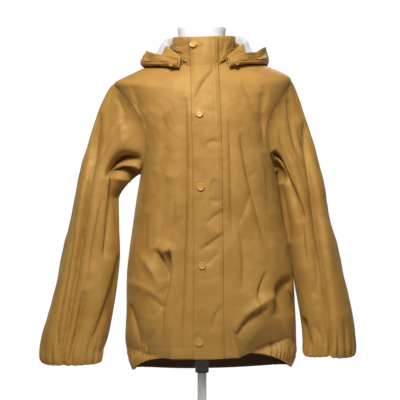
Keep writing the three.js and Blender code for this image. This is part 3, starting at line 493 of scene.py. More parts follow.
RIGHT_SLEEVE_CREASES = (
    # the long folds down its front
    (204, 620, 230, 436, 251, 142, 8.5, 22.0, -1),
    (142, 556, 168, 508, 202, 426, 4.5, 24.0, -1),
    (138, 560, 154, 532, 150, 498, 8, 30.0, 0),
    (152, 506, 162, 430, 170, 382, 4, 9.0, 1),
    (168, 664, 178, 610, 200, 520, 5, 7.0, 1),
    (200, 446, 196, 396, 202, 336, 6, 7.0, -1),
    (152, 604, 162, 552, 186, 484, 4, 5.0, 1),
    (216, 372, 224, 322, 216, 276, 9, 4.5, 0),
    # near the wrist
    (200, 234, 205, 200, 215, 160, 4.5, 11.0, -1),
    (216, 222, 226, 202, 234, 180, 4, 5.0, 1),
    (250, 212, 251, 186, 250, 154, 3.5, 6.0, 0),
    (276, 236, 282, 206, 280, 176, 5, 3.5, 1),
    (262, 440, 274, 370, 278, 310, 7, 3.0, -1),
    (178, 640, 184, 590, 182, 540, 8, 3.5, -1),
    (222, 640, 232, 580, 236, 520, 7, 3.0, 1),
)


class Sleeve:
    """A sleeve's plain surface. The angle runs from its outside (0) by the front (90) to its inside (180)."""

    def __init__(self, name, side, levels, creases):
        self.name, self.side, self.levels, self.creases = name, side, levels, creases
        self.length = levels.rows[-1, 0]

    def place(self, at):
        height = SLEEVE_START - self.levels.at("drop", at)
        return np.stack([self.levels.at("x", at), self.levels.at("y", at), height], axis=-1)

    def ring(self, angle, at):
        near = np.clip(at, 12, self.levels.rows[-4, 0])
        axis = unit(self.place(near + 8) - self.place(near - 8))
        outward = unit(np.stack([-axis[..., 2] * self.side, 0 * near, axis[..., 0] * self.side], axis=-1))
        half = self.levels.at("half", at) * np.cos(np.radians(angle))
        deep = self.levels.at("deep", at) * np.sin(np.radians(angle))
        return self.place(at) + outward * half[..., None] + np.array([0, -1.0, 0]) * deep[..., None]

    def armhole(self, angle, outside):
        s, c = np.sin(np.radians(angle)), np.cos(np.radians(angle))
        reach = np.where(s > 0, FRONT_REACH, BACK_REACH)
        turn = self.side * (90 - ((1 + outside) * reach - 2 * HALF_GAP_TURN) * s)
        return body_plain(turn, ARMHOLE_MIDDLE + ((1 + outside) * ARMHOLE_HALF - SEAM_GAP) * c)

    def plain(self, angle, at):
        """at is negative between the armhole (-1) and the first hanging ring (0)."""
        angle, at = np.broadcast_arrays(np.asarray(angle, float), np.asarray(at, float))
        t = np.clip(at + 1, 0, 1)[..., None]
        start = self.armhole(angle, 0)
        leaving = unit(start - self.armhole(angle, 0.06))
        end = self.ring(angle, 0 * at)
        arriving = unit(self.ring(angle, 0 * at + 20) - end)
        inside = (1 - np.cos(np.radians(angle))) / 2
        leaving_pull = (95 - 69 * inside**2)[..., None]
        arriving_pull = (210 - 150 * inside)[..., None]
        join = start * ((1 + 2 * t) * (1 - t) ** 2) + leaving * (t * (1 - t) ** 2 * leaving_pull)
        join = join + end * (t * t * (3 - 2 * t)) + arriving * (t * t * (t - 1) * arriving_pull)
        return np.where((at < 0)[..., None], join, self.ring(angle, np.maximum(at, 0)))


# The back of a sleeve has the folds of its front, shallower and moved across and up
SLEEVE_BACK_SHIFT = (9.0, 24.0)
SLEEVE_BACK_SHARE = 0.8
SLEEVES = (
    Sleeve("left", -1, LEFT_SLEEVE, LEFT_SLEEVE_CREASES),
    Sleeve("right", 1, RIGHT_SLEEVE, RIGHT_SLEEVE_CREASES),
)


def sleeve_moves(sleeve, angle, at, points, outward):
    """All that a sleeve's cloth does beyond its plain surface."""
    gather = sleeve.levels.at("gather", np.maximum(at, 0))
    phase = np.radians(angle * WRIST_GATHERS) + 0.9 * np.sin(np.radians(angle * 3))
    uneven = 1 + 0.35 * np.sin(np.radians(angle * 5 + 40))
    level_face = 1 - 0.75 * np.abs(outward[..., 2])
    wave = gather * sizes().wrist_gathers / MM * uneven * level_face * pinched(phase)
    tail = smooth((at - sleeve.length + 110) / 60) * (1 - gather) * 1.1
    wave = wave + tail * np.sin(phase * 0.5 + 1)
    joined = smooth((at + 1) * 9)
    facing = np.sin(np.radians(angle))
    shown = smooth(facing * 4)
    behind = smooth(-facing * 4)
    x, z = points[..., 0], points[..., 2]
    back_x, back_z = x - SLEEVE_BACK_SHIFT[0], z - SLEEVE_BACK_SHIFT[1]
    sink = shown * crease_move(sleeve.creases, x, z)
    sink = sink + behind * SLEEVE_BACK_SHARE * crease_move(sleeve.creases, back_x, back_z)
    girth = angle * 1.05
    drift = 1.7 * cloth_drift(girth, z * 0.45, 50, 11 + sleeve.side)
    drift = drift + crumple(girth, z * 0.6, 32, 4 + sleeve.side)
    beside = 1 - 0.85 * smooth(-2 * np.cos(np.radians(angle)) - 0.8)
    hanging = smooth((at + 1) * 2.5) * smooth((sleeve.length - 30 - at) / 40) * beside
    cap = smooth((at + 1) * 8) * smooth((0.2 - at) / 0.6) * smooth(np.cos(np.radians(angle)) * 2 + 0.4)
    eased = 0.7 * cap * np.sin(np.radians(angle * 17 + 25))
    seam = SEAM_DIP * np.exp(-(np.maximum(at + 1, 0) / 0.03))
    return wave - joined * sink + hanging * drift + eased - seam * (at < 0)


# Collar, storm flap and band, as in the frame
COLLAR_HALF, COLLAR_FRONT, COLLAR_BACK = 63.0, 60.0, 64.0
COLLAR_FRONT_HEIGHT, COLLAR_SIDE_HEIGHT, COLLAR_BACK_HEIGHT = 787.0, 791.0, 799.0
COLLAR_WALL = 2.0
COLLAR_SINK = 1.0
COLLAR_BULGE = 2.0
FLAP_EDGES = Table(
    "at left right",
    [(150, -17, 43), (460, -18, 40), (633, -21, 37), (715, -23, 33), (750, -25, 32), (790, -27, 31)],
)
FLAP_TOP_RISE = 0.95
FLAP_OFFSET = 2.5
STITCH_DIP_WIDTH = 1.7
BAND_RISES = (0.1, 0.44)
BAND_TURNS = (31.0, 327.0)
BAND_OFFSET = 2.3
SNAP_HEIGHT = 2.4
SNAP_PLACES = ((-15.5, NECK + 0.74), (-5, 637), (-3, 491), (0, 338), (-5, 170))
HOOD_SNAP_RADIUS = 5.5
HOOD_SNAP_BEARINGS = (("left", 40.0), ("right", 320.0))


COLLAR_CREASES = (
    (-66, 776, -42, 768, -28, 778, 4, 3.0, 1),
    (-56, 762, -38, 754, -22, 764, 4, 3.0, -1),
    (6, 772, -8, 764, -22, 759, 4, 2.5, 1),
    (44, 782, 44, 764, 36, 746, 4, 2.5, -1),
    (62, 780, 54, 766, 50, 752, 4, 2.0, 1),
    (-12, 784, 10, 779, 30, 784, 4, 1.5, 0),
)


def collar_moves(turn, rise, points):
    """The soft crush of the collar, shared by the flap and band that lie on it."""
    soft = 0.9 * cloth_drift(turn * 1.1, rise * 60, 34, 6) + 0.5 * crumple(turn * 1.1, rise * 44, 22, 14)
    sink = crease_move(COLLAR_CREASES, points[..., 0], points[..., 2]) * smooth(np.cos(np.radians(turn)) * 3)
    return (soft - sink) * smooth(rise * 3)


def collar_plain(turn, rise):
    turn, rise = np.broadcast_arrays(np.asarray(turn, float), np.asarray(rise, float))
    neck = body_plain(turn, NECK + 0 * turn)
    outward = body_outward(turn, NECK + 0 * turn)
    s, c = np.sin(np.radians(turn)), np.cos(np.radians(turn))
    radial = np.stack([s, -c, 0 * s], axis=-1)
    inward = COLLAR_WALL * np.maximum(np.sum(outward * radial, axis=-1), 0) + SEAM_GAP
    foot = neck - radial * inward[..., None] - np.array([0, 0, COLLAR_SINK])
    x = CENTRE_X + COLLAR_HALF * s
    deep = np.where(c > 0, COLLAR_FRONT, COLLAR_BACK)
    height = np.where(c > 0, COLLAR_FRONT_HEIGHT, COLLAR_BACK_HEIGHT)
    top_z = COLLAR_SIDE_HEIGHT + (height - COLLAR_SIDE_HEIGHT) * c * c + LEAN * x
    top = np.stack([x, -deep * c, top_z], axis=-1)
    bulge = COLLAR_BULGE * np.sin(np.pi * rise)
    return foot + (top - foot) * rise[..., None] + radial * bulge[..., None]


def collar_outward(turn, rise):
    low = np.minimum(rise, 0.98)
    here = collar_plain(turn, low)
    return unit(np.cross(collar_plain(turn + 0.5, low) - here, collar_plain(turn, low + 0.02) - here))


def turn_at(x, level):
    """The turn of a place across the front, at a level of the body."""
    half = np.where(x < CENTRE_X, BODY_LEVELS.at("left", level), BODY_LEVELS.at("right", level))
    power = BODY_LEVELS.at("square", level) / 2
    return np.degrees(np.arcsin(signed_power((x - CENTRE_X) / half, power)))


def front_place(x, level):
    """Where the storm flap lies: on the fronts, and above the neckline on the collar."""
    x, level = np.broadcast_arrays(np.asarray(x, float), np.asarray(level, float))
    low = np.minimum(level, NECK)
    on_body, body_out = body_point(turn_at(x, low), low)
    rise = np.clip(level - NECK, 0, 1)
    turn = np.degrees(np.arcsin((x - CENTRE_X) / ((60 + COLLAR_HALF) / 2)))
    high = (level > NECK)[..., None]
    on_collar, collar_out = collar_plain(turn, rise), collar_outward(turn, rise)
    on_collar = on_collar + collar_out * collar_moves(turn, rise, on_collar)[..., None]
    return np.where(high, on_collar, on_body), np.where(high, collar_out, body_out)


# Hood, let down. Each row is a section at a bearing round the neck, as in the frame.
HOOD_STOPS = ("neck", "crest", "inner", "low", "outer", "rim")
HOOD_LEVELS = Table(
    "at neck_r neck_z crest_r crest_z inner_r inner_z low_r low_z outer_r outer_z rim_r rim_z",
    [
        (33, 79, 735, 82, 744, 86, 737, 90, 724, 96, 730, 94, 742),
        (50, 74, 742, 78, 757, 86, 746, 94, 728, 103, 735, 98, 750),
        (70, 67, 749, 75, 767, 90, 752, 110, 731, 119, 740, 107, 757),
        (92, 65, 755, 77, 778, 96, 756, 119, 733, 127, 744, 113, 765),
        (115, 67, 758, 82, 792, 102, 760, 124, 731, 136, 743, 124, 767),
        (128, 67, 760, 86, 794, 108, 753, 133, 719, 149, 732, 138, 763),
        (140, 66, 762, 87, 798, 118, 738, 136, 646, 156, 688, 146, 757),
        (180, 67, 766, 80, 806, 106, 732, 126, 588, 154, 660, 147, 748),
        (220, 66, 762, 86, 800, 119, 738, 137, 646, 157, 688, 148, 759),
        (232, 67, 761, 82, 799, 109, 757, 134, 721, 150, 734, 141, 766),
        (245, 67, 760, 82, 796, 101, 764, 126, 734, 141, 742, 131, 770),
        (268, 65, 757, 82, 784, 98, 761, 122, 737, 129, 748, 122, 772),
        (290, 66, 751, 76, 771, 90, 756, 111, 735, 119, 744, 110, 760),
        (310, 73, 744, 78, 760, 86, 749, 94, 731, 103, 738, 99, 753),
        (327, 79, 737, 82, 746, 86, 739, 90, 726, 96, 732, 94, 744),
    ],
)


def hood_plain(bearing, along):
    """The hood's surface from the neckline (0) over the crest and round the low fold to the rim (5)."""
    bearing, along = np.broadcast_arrays(np.asarray(bearing, float), np.asarray(along, float))
    radii = np.stack([HOOD_LEVELS.at(stop + "_r", bearing) for stop in HOOD_STOPS])
    heights = np.stack([HOOD_LEVELS.at(stop + "_z", bearing) for stop in HOOD_STOPS])
    last = len(HOOD_STOPS) - 1
    low = np.clip(np.floor(along).astype(int), 0, last - 1)
    t = along - low

    def pick(table, row):
        return np.take_along_axis(table, row[None], axis=0)[0]

    def through(values):
        slopes = np.empty_like(values)
        slopes[1:-1] = (values[2:] - values[:-2]) / 2
        slopes[0] = values[1] - values[0]
        slopes[-1] = values[-1] - values[-2]
        first = (1 + 2 * t) * (1 - t) ** 2 * pick(values, low) + t * (1 - t) ** 2 * pick(slopes, low)
        return first + t * t * (3 - 2 * t) * pick(values, low + 1) + t * t * (t - 1) * pick(slopes, low + 1)

    radius, height = through(radii), through(heights)
    x = CENTRE_X - radius * np.sin(np.radians(bearing))
    return np.stack([x, -radius * np.cos(np.radians(bearing)), height], axis=-1)


def hood_outward(bearing, along):
    step = np.where(np.asarray(along) > len(HOOD_STOPS) - 1.03, -0.02, 0.02)
    here = hood_plain(bearing, along)
    across = hood_plain(bearing + 0.5, along) - here
    up = (hood_plain(bearing, along + step) - here) * np.sign(step)[..., None]
    return unit(np.cross(up, across))


# Materials
def add_node(tree, kind, settings=None, **inputs):
    """One node. An input is a value, or the socket that feeds it."""
    made = tree.nodes.new(kind)
    for name, value in (settings or {}).items():
        setattr(made, name, value)
    for name, value in inputs.items():
        numbered = name[0] == "i" and name[1:].isdigit()
        socket = made.inputs[int(name[1:]) if numbered else name.replace("_", " ")]
        if isinstance(value, bpy.types.NodeSocket):
            tree.links.new(value, socket)
        else:
            socket.default_value = value
    return made


def new_material(name):
    material = bpy.data.materials.new(name)
    material.use_nodes = True
    return material, material.node_tree, material.node_tree.nodes["Principled BSDF"]


def cloth_wear(tree, place, scale, low, high):
    """A slow mottle between two values, in millimetres of bump size."""
    noise = add_node(tree, "ShaderNodeTexNoise", Vector=place, Scale=1000 / scale, Detail=4.0, Roughness=0.55)
    ramp = add_node(tree, "ShaderNodeMapRange", Value=noise.outputs["Fac"], From_Min=0.35, From_Max=0.65)
    ramp.inputs["To Min"].default_value = low
    ramp.inputs["To Max"].default_value = high
    return ramp.outputs["Result"]


def coated_knit():
    """PU-coated polyester knit, the stretchy rainwear cloth. A thin matt rubbery skin gives a broad shine."""
    material, tree, shader = new_material("coated_knit")
    place = add_node(tree, "ShaderNodeTexCoord").outputs["Object"]
    deep, light = colours().cloth_deep, colours().cloth_light
    tone = cloth_wear(tree, place, 45, 0.0, 1.0)
    mixed = add_node(tree, "ShaderNodeMix", {"data_type": "RGBA"}, i0=tone, i6=deep, i7=light)
    tree.links.new(mixed.outputs[2], shader.inputs["Base Color"])
    tree.links.new(cloth_wear(tree, place, 14, 0.54, 0.64), shader.inputs["Roughness"])
    shader.inputs["Specular IOR Level"].default_value = 0.42
    shader.inputs["Specular Tint"].default_value = colour("FFFCC0")
    shader.inputs["Sheen Weight"].default_value = 0.12
    shader.inputs["Sheen Roughness"].default_value = 0.5
    shader.inputs["Sheen Tint"].default_value = colour("E6DA84")
    crinkle = add_node(tree, "ShaderNodeTexNoise", Vector=place, Scale=1000 / 9, Detail=3.0, Roughness=0.5)
    knit = add_node(tree, "ShaderNodeTexVoronoi", Vector=place, Scale=1000 / 1.1)
    soft = add_node(tree, "ShaderNodeBump", Strength=0.22, Distance=0.0006, Height=crinkle.outputs["Fac"])
    fine = add_node(tree, "ShaderNodeBump", Strength=0.1, Distance=0.0001, Height=knit.outputs["Distance"])
    tree.links.new(soft.outputs["Normal"], fine.inputs["Normal"])
    tree.links.new(fine.outputs["Normal"], shader.inputs["Normal"])
    return material


def cloth_inside():
    """The knit's uncoated back, in the same dye as the face: its dark brown is painted shade, the darkness the
    inside shows in shadow, with a fine loop pattern over it.
    """
    material, tree, shader = new_material("cloth_inside")
    place = add_node(tree, "ShaderNodeTexCoord").outputs["Object"]
    knit = add_node(tree, "ShaderNodeTexVoronoi", Vector=place, Scale=1000 / 1.2)
    # painted shade: both browns are the shaded inside's darkness, mixed by the loop pattern
    tone = add_node(tree, "ShaderNodeMix", {"data_type": "RGBA"}, i0=knit.outputs["Distance"],
                    i6=colours().inside_deep, i7=colours().inside_light)
    tree.links.new(tone.outputs[2], shader.inputs["Base Color"])
    shader.inputs["Roughness"].default_value = 0.9
    bump = add_node(tree, "ShaderNodeBump", Strength=0.3, Distance=0.0002, Height=knit.outputs["Distance"])
    tree.links.new(bump.outputs["Normal"], shader.inputs["Normal"])
    return material


def hood_lining():
    """Brushed grey polyester knit: a flat soft grey with no shine."""
    material, tree, shader = new_material("hood_lining")
    place = add_node(tree, "ShaderNodeTexCoord").outputs["Object"]
    nap = add_node(tree, "ShaderNodeTexNoise", Vector=place, Scale=1000 / 2.5, Detail=5.0)
    tone = add_node(tree, "ShaderNodeMix", {"data_type": "RGBA"}, i0=nap.outputs["Fac"],
                    i6=colours().lining_deep, i7=colours().lining_light)
    tree.links.new(tone.outputs[2], shader.inputs["Base Color"])
    shader.inputs["Roughness"].default_value = 0.95
    shader.inputs["Sheen Weight"].default_value = 0.3
    bump = add_node(tree, "ShaderNodeBump", Strength=0.35, Distance=0.0003, Height=nap.outputs["Fac"])
    tree.links.new(bump.outputs["Normal"], shader.inputs["Normal"])
    return material


def snap_plastic():
    """Moulded acetal resin snap, dyed to the cloth: smooth with a clear small highlight."""
    material, tree, shader = new_material("snap_plastic")
    place = add_node(tree, "ShaderNodeTexCoord").outputs["Object"]
    shader.inputs["Base Color"].default_value = colours().snap
    tree.links.new(cloth_wear(tree, place, 3, 0.24, 0.34), shader.inputs["Roughness"])
    shader.inputs["IOR"].default_value = 1.48
    return material


def sewing_thread():
    """Spun polyester thread, a shade darker than the cloth."""
    material, tree, shader = new_material("sewing_thread")
    place = add_node(tree, "ShaderNodeTexCoord").outputs["Object"]
    twist = add_node(tree, "ShaderNodeTexWave", Vector=place, Scale=1000 / 1.6, Distortion=1.0)
    tone = add_node(tree, "ShaderNodeMix", {"data_type": "RGBA"}, i0=twist.outputs["Fac"],
                    i6=colours().thread_deep, i7=colours().thread_light)
    tree.links.new(tone.outputs[2], shader.inputs["Base Color"])
    shader.inputs["Roughness"].default_value = 0.7
    return material


def form_cover():
    """Spray-painted white fibreglass, the usual shop form: smooth and matt."""
    material, tree, shader = new_material("form_cover")
    place = add_node(tree, "ShaderNodeTexCoord").outputs["Object"]
    shader.inputs["Base Color"].default_value = colours().form
    tree.links.new(cloth_wear(tree, place, 30, 0.5, 0.6), shader.inputs["Roughness"])
    return material


def dark_tube():
    """Black-chromed steel tube: a dark mirror with a slight brushed haze."""
    material, tree, shader = new_material("dark_tube")
    place = add_node(tree, "ShaderNodeTexCoord").outputs["Object"]
    shader.inputs["Base Color"].default_value = colours().socket
    shader.inputs["Metallic"].default_value = 1.0
    tree.links.new(cloth_wear(tree, place, 6, 0.2, 0.3), shader.inputs["Roughness"])
    return material


def white_powder_coat():
    """White powder coat on steel: low shine over a very fine orange-peel."""
    material, tree, shader = new_material("white_powder_coat")
    place = add_node(tree, "ShaderNodeTexCoord").outputs["Object"]
    shader.inputs["Base Color"].default_value = colours().stand
    shader.inputs["Roughness"].default_value = 0.4
    peel = add_node(tree, "ShaderNodeTexNoise", Vector=place, Scale=1000 / 1.5)
    bump = add_node(tree, "ShaderNodeBump", Strength=0.1, Distance=0.0001, Height=peel.outputs["Fac"])
    tree.links.new(bump.outputs["Normal"], shader.inputs["Normal"])
    return material


MAKERS = (
    coated_knit,
    cloth_inside,
    hood_lining,
    snap_plastic,
    sewing_thread,
    form_cover,
    dark_tube,
    white_powder_coat,
)


def material_named(name):
    """A material of the scene, made the first time it is asked for."""
    if name not in bpy.data.materials:
        next(maker for maker in MAKERS if maker.__name__ == name)()
    return bpy.data.materials[name]


# Meshes
def link_piece(name, mesh, replaces=()):
    piece = bpy.data.objects.new(name, mesh)
    bpy.context.scene.collection.objects.link(piece)
    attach(piece, BODY)
    for node in replaces:
        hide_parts(node)
    return piece


def grid_mesh(name, grid, materials, round_=False, flip=False, face_material=None):
    """A sheet through a grid of points in millimetres. flip turns its faces' outside over."""
    rows, columns = grid.shape[:2]
    count = columns if round_ else columns - 1
    r, c = np.meshgrid(np.arange(rows - 1), np.arange(count), indexing="ij")
    following = (c + 1) % columns
    corners = [r * columns + c, r * columns + following, (r + 1) * columns + following, (r + 1) * columns + c]
    if flip:
        corners.reverse()
    faces = np.stack(corners, axis=-1).reshape(-1, 4)
    mesh = bpy.data.meshes.new(name)
    mesh.from_pydata((grid.reshape(-1, 3) * MM).tolist(), [], faces.tolist())
    for material in materials:
        mesh.materials.append(material_named(material))
    if face_material is not None:
        mesh.polygons.foreach_set("material_index", face_material[:, :count].reshape(-1).astype(np.int32))
    mesh.polygons.foreach_set("use_smooth", np.ones(len(faces), dtype=bool))
    mesh.update()
    return mesh


def thicken(piece, wall=None):
    """Cloth with a real thickness, its outer face where the sheet is. wall is in millimetres."""
    shell = piece.modifiers.new("cloth thickness", "SOLIDIFY")
    shell.thickness = sizes().cloth if wall is None else wall * MM
    shell.offset = -1
    shell.use_rim = True
    shell.material_offset = 1
    return piece


def cloth_piece(node, grid, flat, wall=None, materials=("coated_knit", "cloth_inside"), **faces):
    """One cut piece of the coat, as a shell on its solid's form. flat, its cut's width and height, is not used.
    """
    mesh = grid_mesh(node + "_cloth", grid, materials, **faces)
    piece = thicken(link_piece(node + "_cloth", mesh, (node,)), wall)


def hull_normals(grid, round_=False, flip=False):
    """Outward directions at a grid's points."""
    padded = np.concatenate([grid[:, -2:], grid, grid[:, :2]], axis=1) if round_ else grid
    rows = np.gradient(padded, axis=0)
    columns = np.gradient(padded, axis=1)
    outward = unit(np.cross(rows, columns) if flip else np.cross(columns, rows))
    return outward[:, 2:-2] if round_ else outward


HEM_ROLL = 1.1
HEM_STITCH_DEPTH = 0.7
HEM_STITCH_WIDTH = 2.6
HEM_ROWS_TOP = 184.0
HEM_ROW_STEP = 2.5


def body_rows():
    """Levels of the body's rows, close at the gathered hem and round the armhole, and their angles on it."""
    hem = np.arange(HEM_BOTTOM, HEM_ROWS_TOP, HEM_ROW_STEP)
    middle = np.linspace(HEM_ROWS_TOP, UNDERARM, 84)[:-1]
    armhole = np.linspace(180, 0, 60)
    levels = ARMHOLE_MIDDLE + ARMHOLE_HALF * np.cos(np.radians(armhole))
    shoulder = np.linspace(SHOULDER_TIP, NECK, 20)[1:]
    angles = np.concatenate([np.full(len(hem) + len(middle), 180.0), armhole, np.zeros(len(shoulder))])
    return np.concatenate([hem, middle, levels, shoulder]), angles


def panel_grid(start, end, columns, reach, edge_gap):
    """A panel of the body, cut back at its side seams and round its armholes."""
    levels, angles = body_rows()
    cut = HALF_GAP_TURN + reach * np.sin(np.radians(angles))
    turns = []
    for turn, away in ((start, 1), (end, -1)):
        turns.append(turn + away * (cut if at_side_seam(turn) else edge_gap + 0 * cut))
    along = np.linspace(0, 1, columns)[None, :]
    turn = turns[0][:, None] * (1 - along) + turns[1][:, None] * along
    return body_point(turn, levels[:, None] + 0 * along)[0], turn, levels


def hem_edge(grid, levels, outward):
    """The turned hem: the cloth rolls in a little at its edge and dips along its stitch line."""
    near = np.clip((levels - HEM_BOTTOM) / (HEM_STITCH - HEM_BOTTOM), 0, 1)[:, None]
    roll = -HEM_ROLL * (1 - near) ** 3
    stitch = -HEM_STITCH_DEPTH * np.exp(-(((levels[:, None] - HEM_STITCH) / HEM_STITCH_WIDTH) ** 2))
    return grid + outward * (roll + stitch)[..., None]


PANELS = (
    # name, start turn, end turn, columns, armhole reach, cut width and height on the flat in millimetres
    ("front_left", -90.0, OPENING_TURN, 200, FRONT_REACH, 245, 650),
    ("front_right", OPENING_TURN, 90.0, 200, FRONT_REACH, 240, 640),
    ("back", 90.0, 270.0, 250, BACK_REACH, 470, 680),
)


def armhole_seam(grid, outward, levels, start, end):
    """The cloth dips into the armhole's seam."""
    fit = ((levels > UNDERARM - 6) & (levels < SHOULDER_TIP + 2))[:, None]
    sunk = np.zeros(grid.shape[:2])
    for turn, edge in ((start, grid[:, :1]), (end, grid[:, -1:])):
        if at_side_seam(turn):
            away = np.linalg.norm(grid - edge, axis=2)
            sunk += fit * SEAM_DIP * np.exp(-((away / SEAM_DIP_WIDTH) ** 1.5))
    return grid - outward * sunk[..., None]


def build_panel(name, start, end, columns, reach, width, height):
    opening_gap = np.degrees(SEAM_GAP / 2 / FRONT_RADIUS)
    grid, turn, levels = panel_grid(start, end, columns, reach, opening_gap)
    outward = hull_normals(grid)
    grid = hem_edge(armhole_seam(grid, outward, levels, start, end), levels, outward)
    cloth_piece(name, grid, (width * MM, height * MM))


WRIST_LENGTH = 62.0
CUFF_STITCH = 54.0
SLEEVE_COLUMNS = 196


def sleeve_grid(sleeve):
    """A sleeve's points from the armhole to the wrist, their outward directions and their rows."""
    wrist_start = sleeve.length - WRIST_LENGTH
    join = np.concatenate([np.linspace(-1, -0.8, 12), np.linspace(-0.8, 0, 34)[1:-1]])
    hanging = np.linspace(0, wrist_start, 70)
    wrist = np.linspace(wrist_start, sleeve.length, 32)[1:]
    at = np.concatenate([join, hanging, wrist])[:, None]
    at, angle = np.broadcast_arrays(at, np.linspace(0, 360, SLEEVE_COLUMNS, endpoint=False)[None, :])
    plain = sleeve.plain(angle, at)
    outward = hull_normals(plain, round_=True, flip=sleeve.side < 0)
    moves = sleeve_moves(sleeve, angle, at, plain, outward)
    return plain + outward * moves[..., None], outward, at


def build_sleeve(sleeve):
    grid = sleeve_grid(sleeve)[0]
    cloth_piece("sleeve_" + sleeve.name, grid, (0.39, 0.52), round_=True, flip=sleeve.side < 0)


def sweep_collar(turns, rises, rows, columns, lift):
    """A strip round the collar, between two turns and two rises, at a height over it."""
    turn = np.linspace(turns[0], turns[1], columns)[None, :]
    rise = np.linspace(rises[0], rises[1], rows)[:, None]
    turn, rise = np.broadcast_arrays(turn, rise)
    plain = collar_plain(turn, rise)
    outward = collar_outward(turn, rise)
    soft = collar_moves(turn, rise, plain)
    edge = -0.7 * smooth((rise - 0.93) / 0.07)
    return plain + outward * (lift + soft + edge)[..., None], outward


def build_collar():
    gap = np.degrees(SEAM_GAP / 2 / COLLAR_FRONT)
    turns = (OPENING_TURN + gap, OPENING_TURN - gap + 360)
    grid = sweep_collar(turns, (0, 1), 26, 190, 0)[0]
    cloth_piece("collar", grid, (0.385, 0.055), wall=1.6, materials=("coated_knit", "hood_lining"))


def band_grid():
    return sweep_collar(BAND_TURNS, BAND_RISES, 12, 150, BAND_OFFSET)


def build_band():
    cloth_piece("neck_band", band_grid()[0], (0.325, 0.018), wall=1.2)


def flap_grid():
    """The storm flap over the front opening, from the hem up over the collar."""
    body = np.concatenate([np.arange(HEM_BOTTOM, NECK - 4, 2.6), [NECK - 2]])
    collar = NECK + np.linspace(0.1, FLAP_TOP_RISE, 24)
    levels = np.concatenate([body, collar])[:, None]
    middle = front_place(CENTRE_X + 4 + 0 * levels, levels)[0][..., 2]
    along = np.linspace(0, 1, 30)[None, :]
    left, right = FLAP_EDGES.at("left", middle), FLAP_EDGES.at("right", middle)
    x = left * (1 - along) + right * along
    point, outward = front_place(x, levels + 0 * along)
    from_left, from_right = along * (right - left), (1 - along) * (right - left)
    edge = np.minimum(along, 1 - along) * (right - left)
    # its left edge hangs free and its right one is sewn down, and both nearly lie on the fronts
    free = smooth((7 - from_left) / 7) * (0.25 * np.sin(middle / 31.0) - 1.3)
    sewn = -1.55 * smooth((9 - from_right) / 9)
    roll = -0.6 * smooth((1.6 - edge) / 1.6)
    # the cloth dips along its stitch lines
    stitch = -0.55 * np.exp(-(((edge - 5.5) / STITCH_DIP_WIDTH) ** 2))
    second = -0.5 * np.exp(-(((from_right - 12) / STITCH_DIP_WIDTH) ** 2))
    own = 0.6 * cloth_drift(x * 1.4, middle, 30, 9) * smooth(edge / 8)
    lift = FLAP_OFFSET + free + stitch + roll + own + sewn + second
    return point + outward * lift[..., None], outward


def build_flap():
    cloth_piece("storm_flap", flap_grid()[0], (0.061, 0.66), wall=sizes().flap_cloth / MM)


# The hood's own folds: places are (bearing - 180) * 2.2 across and 45 for each stop along
HOOD_ACROSS = 2.2
HOOD_ALONG = 45.0
HOOD_CREASES = (
    (-96, 140, -84, 176, -92, 206, 9, 4.5, 1),
    (-52, 120, -44, 165, -50, 214, 11, 5.5, -1),
    (-8, 132, -2, 170, -10, 216, 12, 4.0, 1),
    (40, 118, 46, 168, 38, 214, 11, 5.5, 1),
    (88, 138, 82, 172, 90, 208, 9, 4.5, -1),
    (-120, 190, -60, 196, 0, 192, 8, 2.5, 0),
    (20, 184, 70, 178, 120, 188, 8, 2.5, 0),
    (-276, 190, -240, 196, -190, 206, 8, 10.0, 1),
    (276, 190, 240, 196, 186, 206, 8, 10.0, -1),
    (-300, 186, -262, 176, -216, 172, 5, 4.0, 0),
    (300, 186, 262, 176, 216, 172, 5, 4.0, 0),
)


# How far the facing of the coat's own cloth reaches inside the hood, in stops
FACING_AT_TAB = 3.2
FACING_AT_BACK = 0.5
HOOD_ROWS = 110
HOOD_COLUMNS = 190
FACING_ROWS = 40
HOOD_STITCH = 4.72
HOOD_HALF_TURN = 147.0
HOOD_RIM_START = 4.6
HOOD_RIM_WAVE = 1.2


def hood_grid():
    """The hood's points, their outward directions, their material and their place from neckline to rim."""
    last = len(HOOD_STOPS) - 1
    bearing = np.linspace(HOOD_LEVELS.rows[0, 0], HOOD_LEVELS.rows[-1, 0], HOOD_COLUMNS)[None, :]
    from_end = HOOD_HALF_TURN - np.abs(bearing - 180)
    facing = FACING_AT_TAB + (FACING_AT_BACK - FACING_AT_TAB) * smooth((from_end - 14) / 46)
    near = np.linspace(0, 1, FACING_ROWS, endpoint=False)[:, None]
    far = np.linspace(0, 1, HOOD_ROWS - FACING_ROWS)[:, None]
    along = np.concatenate([facing * near, facing + (last - facing) * far])
    bearing = bearing + 0 * along
    plain = hood_plain(bearing, along)
    outward = hull_normals(plain, flip=True)
    across, down = (bearing - 180) * HOOD_ACROSS, along * HOOD_ALONG
    sink = crease_move(HOOD_CREASES, across, down)
    clear = smooth(along - 0.6) * smooth((bearing - 38) / 18) * smooth((322 - bearing) / 18)
    drift = 1.6 * cloth_drift(across, down, 52, 21) + 0.7 * cloth_drift(across, down, 22, 17)
    ripple = np.sin(np.radians(bearing * 11 + 30 * np.sin(np.radians(bearing * 3))))
    rim = smooth((along - HOOD_RIM_START) / (last - HOOD_RIM_START)) * HOOD_RIM_WAVE * ripple
    stitch = -0.6 * np.exp(-(((along - HOOD_STITCH) / 0.05) ** 2))
    moved = plain + outward * (clear * (drift - sink) + rim + stitch)[..., None]
    lined = np.where(np.arange(HOOD_ROWS)[:, None] < FACING_ROWS, 0, 2) + 0 * along.astype(int)
    return moved, outward, lined, along


def build_hood():
    grid, _, side, _ = hood_grid()
    materials = ("coated_knit", "coated_knit", "coated_knit", "hood_lining")
    cloth_piece(
        "hood", grid, (0.52, 0.28), wall=1.2, materials=materials, flip=True, face_material=side[:-1]
    )


